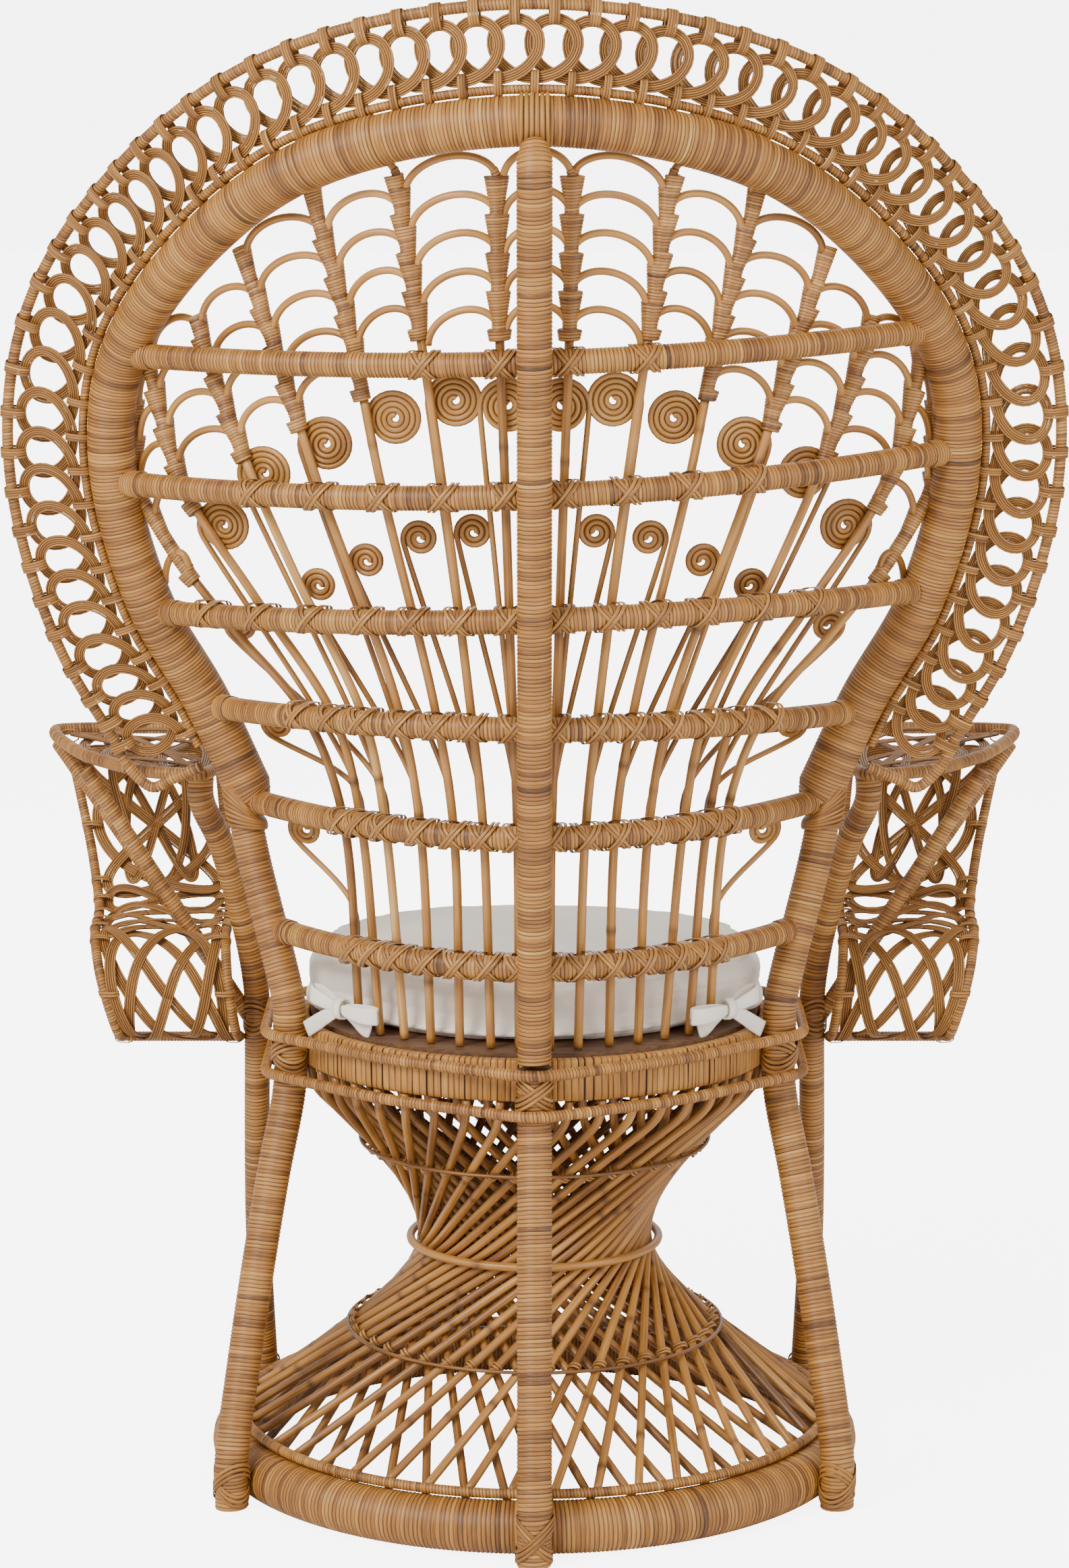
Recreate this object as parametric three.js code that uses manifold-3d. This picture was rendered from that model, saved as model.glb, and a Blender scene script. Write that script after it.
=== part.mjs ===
// Peacock chair in wrapped rattan, with a round seat on a twisted hourglass of rods.
// Millimetres, +Z up, the floor at zero. The sitter faces +Y, so the hollow back stands on the -Y side.
import * as THREE from 'three';
import { mergeVertices } from 'three/addons/utils/BufferGeometryUtils.js';
import Module from 'manifold-3d';

const wasm = await Module();
wasm.setup();

// A tube's size is the half width over its section's corners, a closed hoop's the half width over its flats.

// Fits
const GAP = 0.3; // air left between two pieces that touch
const OVERRUN = 6; // how far a piece runs into its neighbour before it is cut back

// Base
const BASE_RING_RADIUS = 311;
const BASE_RING_TUBE = 26;
const BASE_HOOP_TUBE = 5.5;

// Legs and poles
const LEG_TUBE = 17;
const SPINE_TUBE = 17;
const POLE_TUBE = 14;

// Seat
const SEAT_HEIGHT = 484; // top of the apron band
const APRON_RADIUS = 245;
const APRON_DEPTH = 46;
const APRON_WALL = 13;
const SEAT_HOOP_TUBE = 6;
const HOOP_DROP = 11; // upper hoop below the apron's top
const HOOP_SPACING = 41; // between the two seat hoops
const DECK_THICKNESS = 12;
const CUSHION_THICKNESS = 56;
const CUSHION_CROWN = 15;
const CUSHION_HALF_WIDTH = 238;
const CUSHION_HALF_DEPTH = 240;
const CUSHION_CENTRE = 24; // forward of the seat's middle
const CUSHION_DRAW_IN = 5; // how far the box edge is pulled in between its seams
const CUSHION_CLEARANCE = 5;

// Hourglass
const ROD_COUNT = 44; // in each of its two layers, which lean opposite ways
const ROD_GROUPS = 4;
const ROD_TUBE = 4.6;
const WAIST_RADIUS = 118; // to the outer rods' centres
const WAIST_HEIGHT = 243;
const LAYER_STEP = 11; // from the outer rods to the inner ones at the waist
const LAYER_STEP_TOP = 17; // the same at the seat
const INNER_FOOT_STEP = 10; // from the base ring's middle in to the inner rods' feet
const INNER_FOOT_HEIGHT = 39.5;
const ROD_SHOULDER = 155; // height above the waist where the rods turn up into the seat
const WAIST_RING_TUBE = 4.5;
const BINDING_TUBE = 2;
const BINDING_RISE = 103; // upper binding above the waist
const BINDING_FALL = 95; // lower binding below the waist

// Back
const BACK_TOP = 1394; // middle of the wrapped arch at its crown
const ARCH_HALF_WIDTH = 418;
const ARCH_TUBE = 24;
const BACK_LEAN_SHARE = 0.13; // rearward lean for each unit of height
const BACK_SAG = 200; // how far the arch stands forward of the spine
const SEAT_BACK_HALF_WIDTH = 280; // where that depth is reached at the seat
const RAIL_TUBE = 12.5;
const SPOKE_TUBE = 5;
const STEM_TUBE = 6.5;
const ARC_TUBE = 4;
const SCROLL_TUBE = 3.1;
const SCROLL_GAP = 1.3; // between two turns of a scroll
const BIG_SCROLL_RADIUS = 27;
const SMALL_SCROLL_RADIUS = 18;
const SCALLOP_SPACING = 36;
const SCALLOP_RISE = 28;

// Crown
const CROWN_HOOP_TUBE = 5;
const CROWN_RIM_TUBE = 6;
const CROWN_HEIGHT = 64; // free height of the looped lace
const LOOP_PITCH = 31.5; // between two loops, measured along the arch
const LACE_HALF_WIDTH = 5;
const LACE_HALF_THICKNESS = 2;
const LACE_NODES = 6;
const CROWN_FLARE_SHARE = 0.2; // how far the crown turns forward as it turns sideways

// Arms
const ARM_HEIGHT = 729;
const ARM_FRAME_TUBE = 7;
const ARM_ROD_TUBE = 5.5;
const ARM_LACE_HALF_WIDTH = 6;
const ARM_LACE_HALF_THICKNESS = 2.2;
const ARM_BRACE_TUBE = 8;
const ARM_REACH = 519; // outermost corner from the chair's middle
const ARM_FRONT = 285; // front edge from the seat's middle
const ARM_FOOT_DROP = 300; // from the arm's top down to the panel's lower edge

// Ties
const TIE_KNOT = 10;

const RATTAN = 0xc69b6b;
const PEELED = 0xb98a5a;
const CLOTH = 0xede6dc;

const seatBackRise = BACK_TOP - SEAT_HEIGHT;
const hoopLevels = [SEAT_HEIGHT - HOOP_DROP, SEAT_HEIGHT - HOOP_DROP - HOOP_SPACING];
const legSeatRadius = APRON_RADIUS + LEG_TUBE + GAP;
const legFootRadius = BASE_RING_RADIUS + BASE_RING_TUBE + LEG_TUBE + GAP;
const railLayerAtSeat = -(legSeatRadius - SPINE_TUBE - RAIL_TUBE - GAP);
const FINE = GAP / 3; // detail smaller than this is left out of a joined piece
const radians = THREE.MathUtils.degToRad;

// The seat's hoops are pulled tight: a straight slant runs from the apron out over each leg.
const HOOP_SLANT_ANGLE = 30;
const hoopRoundLeg = legSeatRadius + (LEG_TUBE + GAP + SEAT_HOOP_TUBE) / Math.cos(radians(HOOP_SLANT_ANGLE));

// Shape tools

// A line through given points, sampled at those points. With faces, a band along it lies flat to them.
class PointPath extends THREE.Curve {
  constructor(points, faces = null) {
    super();
    this.points = points;
    this.faces = faces;
  }

  getPoint(t, target = new THREE.Vector3()) {
    const place = Math.min(Math.max(t, 0), 1) * (this.points.length - 1);
    const index = Math.min(Math.floor(place), this.points.length - 2);
    return target.lerpVectors(this.points[index], this.points[index + 1], place - index);
  }

  getUtoTmapping(u) {
    return u;
  }

  computeFrenetFrames(segments, closed) {
    if (!this.faces) return super.computeFrenetFrames(segments, closed);
    const frames = { tangents: [], normals: [], binormals: [] };
    for (let i = 0; i <= segments; i += 1) {
      const tangent = this.getTangentAt(i / segments);
      const face = this.faces[i].clone().addScaledVector(tangent, -this.faces[i].dot(tangent)).normalize();
      frames.tangents.push(tangent);
      frames.binormals.push(face);
      frames.normals.push(new THREE.Vector3().crossVectors(face, tangent));
    }
    return frames;
  }
}

function polygon(radius, sides) {
  const shape = new THREE.Shape();
  for (let i = 0; i < sides; i += 1) {
    const angle = (i + 1 / 2) / sides * Math.PI * 2;
    const x = radius * Math.cos(angle);
    const y = radius * Math.sin(angle);
    if (i === 0) shape.moveTo(x, y);
    else shape.lineTo(x, y);
  }
  shape.closePath();
  return shape;
}

// A tube through every point of the list.
function tube(points, radius, sides) {
  return new THREE.ExtrudeGeometry(polygon(radius, sides), {
    steps: points.length - 1,
    extrudePath: new PointPath(points),
    bevelEnabled: false,
  });
}

// A flat band of cane through the points, its width square to the faces.
function band(points, faces, halfWidth, halfThickness) {
  const section = new THREE.Shape([
    new THREE.Vector2(-halfWidth, -halfThickness),
    new THREE.Vector2(halfWidth, -halfThickness),
    new THREE.Vector2(halfWidth, halfThickness),
    new THREE.Vector2(-halfWidth, halfThickness),
  ]);
  return new THREE.ExtrudeGeometry(section, {
    steps: points.length - 1,
    extrudePath: new PointPath(points, faces),
    bevelEnabled: false,
  });
}

// Evenly spaced points on a smooth curve through a few places.
function smooth(places, steps) {
  return new THREE.CatmullRomCurve3(places, false, 'centripetal').getSpacedPoints(steps);
}

// A closed tube round the Z axis: place(angle) gives its centre line.
function hoop(place, flat, sides, segments) {
  const radius = flat / Math.cos(Math.PI / sides);
  const geometry = new THREE.TorusGeometry(2, 1, sides, segments);
  const position = geometry.attributes.position;
  const stride = segments + 1;
  for (let side = 0; side <= sides; side += 1) {
    for (let step = 0; step <= segments; step += 1) {
      const angle = (step % segments) / segments * Math.PI * 2;
      const roll = ((side % sides) + 1 / 2) / sides * Math.PI * 2;
      const centre = place(angle);
      const ahead = place(angle + Math.PI / segments);
      const behind = place(angle - Math.PI / segments);
      const outward = new THREE.Vector3(ahead.y - behind.y, behind.x - ahead.x, 0).normalize();
      centre.addScaledVector(outward, radius * Math.cos(roll));
      centre.z += radius * Math.sin(roll);
      position.setXYZ(side * stride + step, centre.x, centre.y, centre.z);
    }
  }
  return geometry;
}

function solid(geometry) {
  const bare = geometry.clone();
  bare.deleteAttribute('normal');
  bare.deleteAttribute('uv');
  const merged = mergeVertices(bare, GAP / 300);
  return new wasm.Manifold(new wasm.Mesh({
    numProp: 3,
    vertProperties: new Float32Array(merged.attributes.position.array),
    triVerts: new Uint32Array(merged.index.array),
  }));
}

function asGeometry(body) {
  const mesh = body.simplify(FINE).getMesh();
  const geometry = new THREE.BufferGeometry();
  geometry.setAttribute('position', new THREE.BufferAttribute(new Float32Array(mesh.vertProperties), 3));
  geometry.setIndex(new THREE.BufferAttribute(new Uint32Array(mesh.triVerts), 1));
  geometry.computeVertexNormals();
  return geometry;
}

// Joins the given shapes into one solid and cuts the neighbours' space out of it.
function joined(shapes, neighbours = []) {
  let body = solid(shapes[0]);
  for (const shape of shapes.slice(1)) body = body.add(solid(shape));
  for (const neighbour of neighbours) body = body.subtract(solid(neighbour));
  // Offcuts beyond a neighbour are dropped.
  const bodies = body.decompose();
  bodies.sort((a, b) => b.volume() - a.volume());
  return asGeometry(bodies[0]);
}

const chair = new THREE.Group();

function addPiece(name, geometry, color = RATTAN, roughness = 0.5) {
  const material = new THREE.MeshStandardMaterial({ color, roughness, metalness: 0 });
  const mesh = new THREE.Mesh(geometry, material);
  mesh.name = name;
  chair.add(mesh);
  return mesh;
}

// The corner radius of a faceted ring whose flats clear a circle.
const round = (radius, facets) => radius / Math.cos(Math.PI / facets);

const polar = (radius, degrees, z) =>
  new THREE.Vector3(radius * Math.cos(radians(degrees)), radius * Math.sin(radians(degrees)), z);

const mirrored = (points) => points.map((p) => new THREE.Vector3(-p.x, p.y, p.z));

// The back's hollow surface

const sideWidth = (z) => {
  const share = THREE.MathUtils.smoothstep((z - SEAT_HEIGHT) / seatBackRise, 0.24, 0.6);
  return THREE.MathUtils.lerp(SEAT_BACK_HALF_WIDTH, ARCH_HALF_WIDTH, share);
};

function backY(x, z) {
  const lean = BACK_LEAN_SHARE * (z - SEAT_HEIGHT);
  const share = Math.abs(x) / sideWidth(z);
  return railLayerAtSeat - lean + BACK_SAG * share * share;
}

// A place on the back, or a layer off it measured square to its slope.
function onBack(x, z, layer = 0) {
  const slope = 2 * BACK_SAG * x / sideWidth(z) ** 2;
  return new THREE.Vector3(x, backY(x, z) + layer * Math.hypot(1, slope, BACK_LEAN_SHARE), z);
}

// A place on the back from its shares: across, of the arch's half width; up, of the rise from seat to arch.
const backPlace = ([across, up], layer = 0) =>
  onBack(across * ARCH_HALF_WIDTH, SEAT_HEIGHT + up * seatBackRise, layer);

// Arch and crown

// Right half of the arch's middle line, from its foot to its crown.
const archShares = [
  [0.69, 0.255], [0.795, 0.36], [0.925, 0.475], [1, 0.62],
  [0.975, 0.735], [0.818, 0.848], [0.5, 0.957], [0, 1],
];
const archLine = new THREE.CatmullRomCurve3(
  [
    ...archShares.map(([across, up]) => backPlace([-across, up])),
    ...archShares.slice(0, -1).reverse().map((share) => backPlace(share)),
  ],
  false,
  'centripetal',
);
archLine.arcLengthDivisions = 400;

const ARCH_STEPS = 32;
const archPoints = archLine.getSpacedPoints(ARCH_STEPS);
addPiece('main_arch', tube(archPoints, ARCH_TUBE, 8));
const archSpace = tube(archPoints, ARCH_TUBE + GAP, 8);

// The crown's directions at a share of the arch: outwards, and off its face.
function crownFrame(share) {
  const along = archLine.getTangentAt(share);
  const outward = new THREE.Vector3(-along.z, 0, along.x);
  outward.y = CROWN_FLARE_SHARE * Math.abs(outward.x);
  outward.addScaledVector(along, -outward.dot(along)).normalize();
  return { outward, face: new THREE.Vector3().crossVectors(along, outward) };
}

// A place on the crown: share along the arch, distance out from its middle line, lift off the crown's face.
function crownPlace(share, out, lift = 0) {
  const { outward, face } = crownFrame(share);
  return archLine.getPointAt(share).addScaledVector(outward, out).addScaledVector(face, lift);
}

const hoopOut = ARCH_TUBE + CROWN_HOOP_TUBE + GAP;
const laceMiddle = hoopOut + CROWN_HOOP_TUBE + GAP + CROWN_HEIGHT / 2;
const rimOut = laceMiddle + CROWN_HEIGHT / 2 + GAP * 8 + CROWN_RIM_TUBE;
const CROWN_START_SHARE = 0.03;
// Points abreast of the arch's own, so that their straight stretches run side by side.
const crownSteps = (out) => {
  const shares = [CROWN_START_SHARE];
  for (let i = 1; i < ARCH_STEPS; i += 1) {
    const share = i / ARCH_STEPS;
    if (Math.min(share, 1 - share) > CROWN_START_SHARE + 1 / ARCH_STEPS / 2) shares.push(share);
  }
  shares.push(1 - CROWN_START_SHARE);
  return shares.map((share) => crownPlace(share, out));
};

addPiece('crown_inner_hoop', tube(crownSteps(hoopOut), CROWN_HOOP_TUBE, 5));

const rimClose = hoopOut + CROWN_HOOP_TUBE + GAP; // where the rim's turned-in ends stop
const rimPoints = [
  crownPlace(CROWN_START_SHARE * 0.7, rimClose),
  crownPlace(CROWN_START_SHARE * 0.7, rimOut - CROWN_RIM_TUBE * 3),
  ...crownSteps(rimOut),
  crownPlace(1 - CROWN_START_SHARE * 0.7, rimOut - CROWN_RIM_TUBE * 3),
  crownPlace(1 - CROWN_START_SHARE * 0.7, rimClose),
];
addPiece('crown_outer_rim', tube(rimPoints, CROWN_RIM_TUBE, 5));

// The crown's lace is one running band of cores that goes back over itself at each loop.
const LOOP_STEPS = 6;
const LOOP_BACK_SHARE = 0.85; // half width of a loop, of the pitch
const LACE_MARGIN_SHARE = CROWN_START_SHARE * 1.3;
const laceSpan = 1 - LACE_MARGIN_SHARE * 2;
const loopCount = Math.round(archLine.getLength() * laceSpan / LOOP_PITCH / LACE_NODES) * LACE_NODES;
const laceLift = LACE_HALF_THICKNESS * 3.1; // keeps each crossing clear
const laceReach = CROWN_HEIGHT / 2 - LACE_HALF_WIDTH;

function lacePlace(turn) {
  const angle = turn * Math.PI * 2;
  const share = LACE_MARGIN_SHARE + (laceSpan / loopCount) * (turn + 1 / 2 - LOOP_BACK_SHARE * Math.sin(angle));
  return {
    point: crownPlace(share, laceMiddle + laceReach * Math.cos(angle), -laceLift * Math.sin(angle)),
    face: crownFrame(share).face,
  };
}

// The least air between a winding line and itself, over points more than a few steps apart.
function selfGap(line, thickness, steps) {
  const path = new PointPath(line);
  const spots = [];
  for (let i = 0; i <= line.length * 6; i += 1) spots.push(path.getPoint(i / (line.length * 6)));
  let least = Infinity;
  for (let i = 0; i < spots.length; i += 1) {
    for (let j = i + steps * 6; j < spots.length; j += 1) least = Math.min(least, spots[i].distanceTo(spots[j]));
  }
  return least - thickness;
}

const loopsPerNode = loopCount / LACE_NODES;
for (let node = 0; node < LACE_NODES; node += 1) {
  const places = [];
  const CUT_SHARE = 0.03; // of a loop, left open where two stretches meet
  const first = node * loopsPerNode - 1 / 2 + CUT_SHARE;
  const last = first + loopsPerNode - CUT_SHARE * 2;
  const steps = loopsPerNode * LOOP_STEPS;
  for (let i = 0; i <= steps; i += 1) places.push(lacePlace(THREE.MathUtils.lerp(first, last, i / steps)));
  const points = places.map(({ point }) => point);
  const faces = places.map(({ face }) => face);
  addPiece(`crown_lace_${node + 1}`, band(points, faces, LACE_HALF_WIDTH, LACE_HALF_THICKNESS));
  if (node === 0) console.log(`crown lace clears itself by ${selfGap(points, LACE_HALF_THICKNESS * 2, 2).toFixed(2)} mm`);
}

// Base, legs and poles

// The ring's section has a flat foot to stand on; extra makes it larger all round.
const RING_SIDES = 8;
const RING_STEPS = 28;
const upright = (geometry) => geometry.rotateX(Math.PI / 2);
function ringGeometry(extra) {
  const profile = [];
  const stretch = (BASE_RING_TUBE + extra) / Math.cos(Math.PI / RING_SIDES);
  for (let i = 0; i <= RING_SIDES; i += 1) {
    const angle = (i - 1 / 2) / RING_SIDES * Math.PI * 2 - Math.PI / 2;
    const x = BASE_RING_RADIUS + stretch * Math.cos(angle);
    profile.push(new THREE.Vector2(x, BASE_RING_TUBE + stretch * Math.sin(angle)));
  }
  return upright(new THREE.LatheGeometry(profile, RING_STEPS));
}
addPiece('base_ring', ringGeometry(0));

const baseHoopHeight = BASE_RING_TUBE * 2 + BASE_HOOP_TUBE + GAP;
const baseHoop = (angle) => polar(BASE_RING_RADIUS - BASE_HOOP_TUBE, THREE.MathUtils.radToDeg(angle), baseHoopHeight);
addPiece('base_thin_hoop', hoop(baseHoop, BASE_HOOP_TUBE, 4, RING_STEPS));

// Leg angles round the chair in degrees, at the seat and at the floor.
const REAR_SEAT_ANGLE = -18;
const REAR_FOOT_ANGLE = -30;
const POLE_SEAT_ANGLE = 18;
const POLE_FOOT_ANGLE = 34;
const poleHeadShare = [0.665, 0.12]; // where a pole meets the arm: across its reach, along its front
const kneeHeight = hoopLevels[1] - SEAT_HOOP_TUBE * 2;

function legPoints(seatAngle, footAngle, top) {
  const points = [polar(legFootRadius, footAngle, -LEG_TUBE)];
  const LEG_STEPS = 4;
  const ringTop = BASE_RING_TUBE * 2;
  for (let i = 0; i <= LEG_STEPS; i += 1) {
    const share = i / LEG_STEPS;
    const radius = THREE.MathUtils.lerp(legFootRadius, legSeatRadius, share);
    const angle = THREE.MathUtils.lerp(footAngle, seatAngle, share);
    points.push(polar(radius, angle, THREE.MathUtils.lerp(ringTop, kneeHeight, share)));
  }
  points.push(polar(legSeatRadius, seatAngle, top));
  return points;
}

const floorBlock = new THREE.BoxGeometry(BASE_RING_RADIUS * 4, BASE_RING_RADIUS * 4, LEG_TUBE * 4);
floorBlock.translate(0, 0, -LEG_TUBE * 2);

const archFoot = archLine.getPointAt(1);
const archFootAlong = archLine.getTangentAt(1);
const sidePostPoints = [
  ...legPoints(REAR_SEAT_ANGLE, REAR_FOOT_ANGLE, SEAT_HEIGHT),
  ...smooth(
    [
      polar(legSeatRadius, REAR_SEAT_ANGLE, SEAT_HEIGHT + LEG_TUBE),
      archFoot.clone().addScaledVector(archFootAlong, ARCH_TUBE * 2),
      archFoot.clone().addScaledVector(archFootAlong, GAP * 3),
    ],
    4,
  ),
];
const sidePosts = [
  ['rear_side_post_right', sidePostPoints],
  ['rear_side_post_left', mirrored(sidePostPoints)],
];
for (const [name, points] of sidePosts) {
  addPiece(name, joined([tube(points, LEG_TUBE, 8)], [floorBlock]));
}
const postSpaces = sidePosts.map(([, points]) => tube(points, LEG_TUBE + GAP, 8));

const POLE_SIDES = 8;

// The front poles stand outside the seat's hoops and run on up to carry the arms.
const poleSeatRadius = hoopRoundLeg + SEAT_HOOP_TUBE + GAP * 2 + POLE_TUBE * Math.cos(Math.PI / POLE_SIDES);
const poleHead = new THREE.Vector3(
  poleHeadShare[0] * ARM_REACH,
  poleHeadShare[1] * ARM_FRONT,
  ARM_HEIGHT - ARM_FRAME_TUBE - GAP,
);
const polePoints = [
  polar(legFootRadius, POLE_FOOT_ANGLE, -LEG_TUBE),
  polar(legFootRadius, POLE_FOOT_ANGLE, LEG_TUBE),
  polar((legFootRadius + poleSeatRadius) / 2, (POLE_FOOT_ANGLE + POLE_SEAT_ANGLE) / 2, kneeHeight / 2),
  polar(poleSeatRadius, POLE_SEAT_ANGLE, hoopLevels[1]),
  polar(poleSeatRadius, POLE_SEAT_ANGLE, hoopLevels[0]),
  polar(poleSeatRadius, POLE_SEAT_ANGLE, hoopLevels[0] + POLE_TUBE * 2).lerp(poleHead, 0.15),
  poleHead.clone().setZ((poleHead.z + SEAT_HEIGHT) / 2).lerp(polar(poleSeatRadius, POLE_SEAT_ANGLE, poleHead.z), 0.35),
  poleHead.clone().setZ(poleHead.z - POLE_TUBE * 2),
  poleHead,
];
const poleSpace = tube(polePoints, POLE_TUBE + GAP, POLE_SIDES);
addPiece('front_pole_right', joined([tube(polePoints, POLE_TUBE, POLE_SIDES)], [floorBlock]));
addPiece('front_pole_left', joined([tube(mirrored(polePoints), POLE_TUBE, POLE_SIDES)], [floorBlock]));

const centreLegPoints = legPoints(-90, -90, hoopLevels[0] + SEAT_HOOP_TUBE);
addPiece('rear_centre_leg', joined([tube(centreLegPoints, LEG_TUBE, 8)], [floorBlock]));

// The spine stands on the centre leg, bears on every rail and passes behind the arch.
const spineLayer = -(RAIL_TUBE + SPINE_TUBE + GAP);
const spineTopLayer = -(ARCH_TUBE + SPINE_TUBE + GAP);
const spineFoot = hoopLevels[0] + SEAT_HOOP_TUBE + GAP;
const SPINE_BEND_SHARE = 0.86;
const spinePoints = [
  onBack(0, spineFoot, spineLayer),
  onBack(0, spineFoot, spineLayer).setZ(spineFoot + SPINE_TUBE),
  backPlace([0, 0.3], spineLayer),
  backPlace([0, 0.6], spineLayer),
  backPlace([0, SPINE_BEND_SHARE], spineLayer),
  onBack(0, BACK_TOP - ARCH_TUBE, spineTopLayer),
  onBack(0, BACK_TOP + ARCH_TUBE / 2, spineTopLayer),
];
addPiece('rear_spine', tube(spinePoints, SPINE_TUBE, 8));

// Rails, top to bottom: height of the middle, how far the ends rise, and the hand-set slope from left to right,
// all as shares of the back's rise.
const railShares = [
  [0.752, 0.01, 0.014], [0.613, 0.012, 0.018], [0.48, -0.006, 0.013],
  [0.362, -0.013, -0.003], [0.242, 0.004, 0], [0.097, 0.006, 0],
];
const railHeight = ([middle, rise, slope], across) => middle + rise * across * across + slope * across;

// Half width, as a share of the arch's, of the space inside the frame at a height share.
function frameShare(up) {
  const z = SEAT_HEIGHT + up * seatBackRise;
  let best = archPoints[0];
  for (const point of [...sidePostPoints, ...archPoints]) {
    if (point.x > 0 && Math.abs(point.z - z) < Math.abs(best.z - z)) best = point;
  }
  const near = [...sidePostPoints, ...archPoints].filter((p) => p.x > 0);
  near.sort((a, b) => Math.abs(a.z - z) - Math.abs(b.z - z));
  const other = near.find((p) => (p.z - z) * (best.z - z) < 0) ?? best;
  const mix = best.z === other.z ? 0 : (z - best.z) / (other.z - best.z);
  return THREE.MathUtils.lerp(best.x, other.x, mix) / ARCH_HALF_WIDTH;
}

const RAIL_STEPS = 12;
railShares.forEach((rail, index) => {
  const ends = [-1, 1].map((across) => across * frameShare(railHeight(rail, across)));
  const points = [];
  for (let i = 0; i <= RAIL_STEPS; i += 1) {
    const share = i / RAIL_STEPS;
    const height = railHeight(rail, share * 2 - 1);
    points.push(backPlace([THREE.MathUtils.lerp(ends[0], ends[1], share), height]));
  }
  addPiece(`back_rail_${index + 1}`, joined([tube(points, RAIL_TUBE, 6)], [archSpace, ...postSpaces]));
});

// Spokes, stems, scallops and scrolls: one bundle for each spoke, seven a side

// Each spoke from the middle outwards, as shares of the arch's half width and the back's rise: its line from the
// seat up, the height where its wrapped stem begins, and the middles of its big and its small scroll.
const spokeShares = [
  {
    line: [[0.036, 0], [0.04, 0.25], [0.052, 0.4], [0.067, 0.62], [0.08, 0.8], [0.085, 0.955]],
    stem: 0.775, big: [0.062, 0.705], small: [0.14, 0.57],
  },
  {
    line: [[0.103, 0], [0.12, 0.25], [0.148, 0.38], [0.21, 0.62], [0.262, 0.79], [0.315, 0.96]],
    stem: 0.775, big: [0.181, 0.71], small: [0.264, 0.562],
  },
  {
    line: [[0.177, 0], [0.19, 0.25], [0.232, 0.38], [0.352, 0.62], [0.425, 0.79], [0.51, 0.93]],
    stem: 0.71, big: [0.32, 0.69], small: [0.388, 0.535],
  },
  {
    line: [[0.246, 0], [0.27, 0.25], [0.32, 0.38], [0.5, 0.62], [0.61, 0.78], [0.69, 0.88]],
    stem: 0.675, big: [0.48, 0.66], small: [0.503, 0.505],
  },
  {
    line: [[0.31, 0], [0.355, 0.25], [0.4, 0.36], [0.56, 0.52], [0.69, 0.66], [0.81, 0.82]],
    stem: 0.64, big: [0.627, 0.625], small: [0.7, 0.45],
  },
  {
    line: [[0.37, 0], [0.415, 0.25], [0.475, 0.36], [0.66, 0.49], [0.83, 0.61], [0.91, 0.74]],
    stem: 0.58, big: [0.73, 0.565], small: [0.622, 0.335],
  },
  {
    line: [[0.42, 0], [0.46, 0.25], [0.55, 0.36], [0.7, 0.44], [0.84, 0.52], [0.95, 0.6]],
    stem: 0.5, big: null, small: [0.557, 0.215],
  },
];
const railBow = BACK_SAG / RAIL_STEPS ** 2; // how far a rail's straight stretches stand off the curve
const spokeLayer = RAIL_TUBE + STEM_TUBE + railBow + GAP;
const bigLayer = spokeLayer + SPOKE_TUBE + SCROLL_TUBE + GAP;
const smallLayer = bigLayer + SCROLL_TUBE * 2 + GAP;

const TURN_STEPS = 6;

// A rod that runs up from the rail, meets its circle at a tangent and winds inwards on the back's face.
function scrollPoints(root, via, centre, radius, layer, side) {
  const pitch = (SCROLL_TUBE * 2 + SCROLL_GAP) / Math.cos(Math.PI / TURN_STEPS);
  const outer = radius - SCROLL_TUBE;
  const inner = SCROLL_TUBE + SCROLL_GAP * 2;
  const turns = (outer - inner) / pitch;
  const place = (share) => [share[0] * ARCH_HALF_WIDTH, SEAT_HEIGHT + share[1] * seatBackRise];
  const [centreX, centreZ] = place(centre);
  const [rootX, rootZ] = place(root);
  const [viaX, viaZ] = place(via);
  const spiral = [];
  const steps = Math.round(turns * TURN_STEPS);
  const start = -Math.atan2(centreX + outer - viaX, centreZ - viaZ);
  for (let i = 0; i <= steps; i += 1) {
    const angle = start + (i / TURN_STEPS) * Math.PI * 2;
    const reach = THREE.MathUtils.lerp(outer, inner, i / steps);
    spiral.push([centreX + reach * Math.cos(angle), centreZ + reach * Math.sin(angle)]);
  }
  const route = [[rootX, rootZ], [viaX, viaZ], ...spiral];
  return route.map(([x, z], i) => onBack(side * x, z, i === 0 ? spokeLayer : layer));
}

// The scallops of one gap: from stem to stem, rising between them.
const ARC_STEPS = 4;
function scallop(from, to, rise, layer, side) {
  const points = [];
  for (let i = 0; i <= ARC_STEPS; i += 1) {
    const angle = Math.PI * (1 - i / ARC_STEPS);
    const share = (1 + Math.cos(angle)) / 2;
    const x = THREE.MathUtils.lerp(from.x, to.x, share);
    const z = THREE.MathUtils.lerp(from.z, to.z, share) + rise * Math.sin(angle);
    points.push(onBack(side * x, z, layer));
  }
  return points;
}

const stemLines = spokeShares.map(({ line, stem }) => {
  const curve = new THREE.CatmullRomCurve3(
    line.map(([across, up]) => new THREE.Vector3(across * ARCH_HALF_WIDTH, 0, SEAT_HEIGHT + up * seatBackRise)),
    false,
    'centripetal',
  );
  return { curve, stemStart: SEAT_HEIGHT + stem * seatBackRise, top: line.at(-1)[1] };
});

// The spoke's x at a height, found on its curve.
function spokeX(curve, z) {
  let low = 0;
  let high = 1;
  for (let i = 0; i < 24; i += 1) {
    const middle = (low + high) / 2;
    if (curve.getPoint(middle).z < z) low = middle;
    else high = middle;
  }
  return curve.getPoint(low).x;
}

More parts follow.
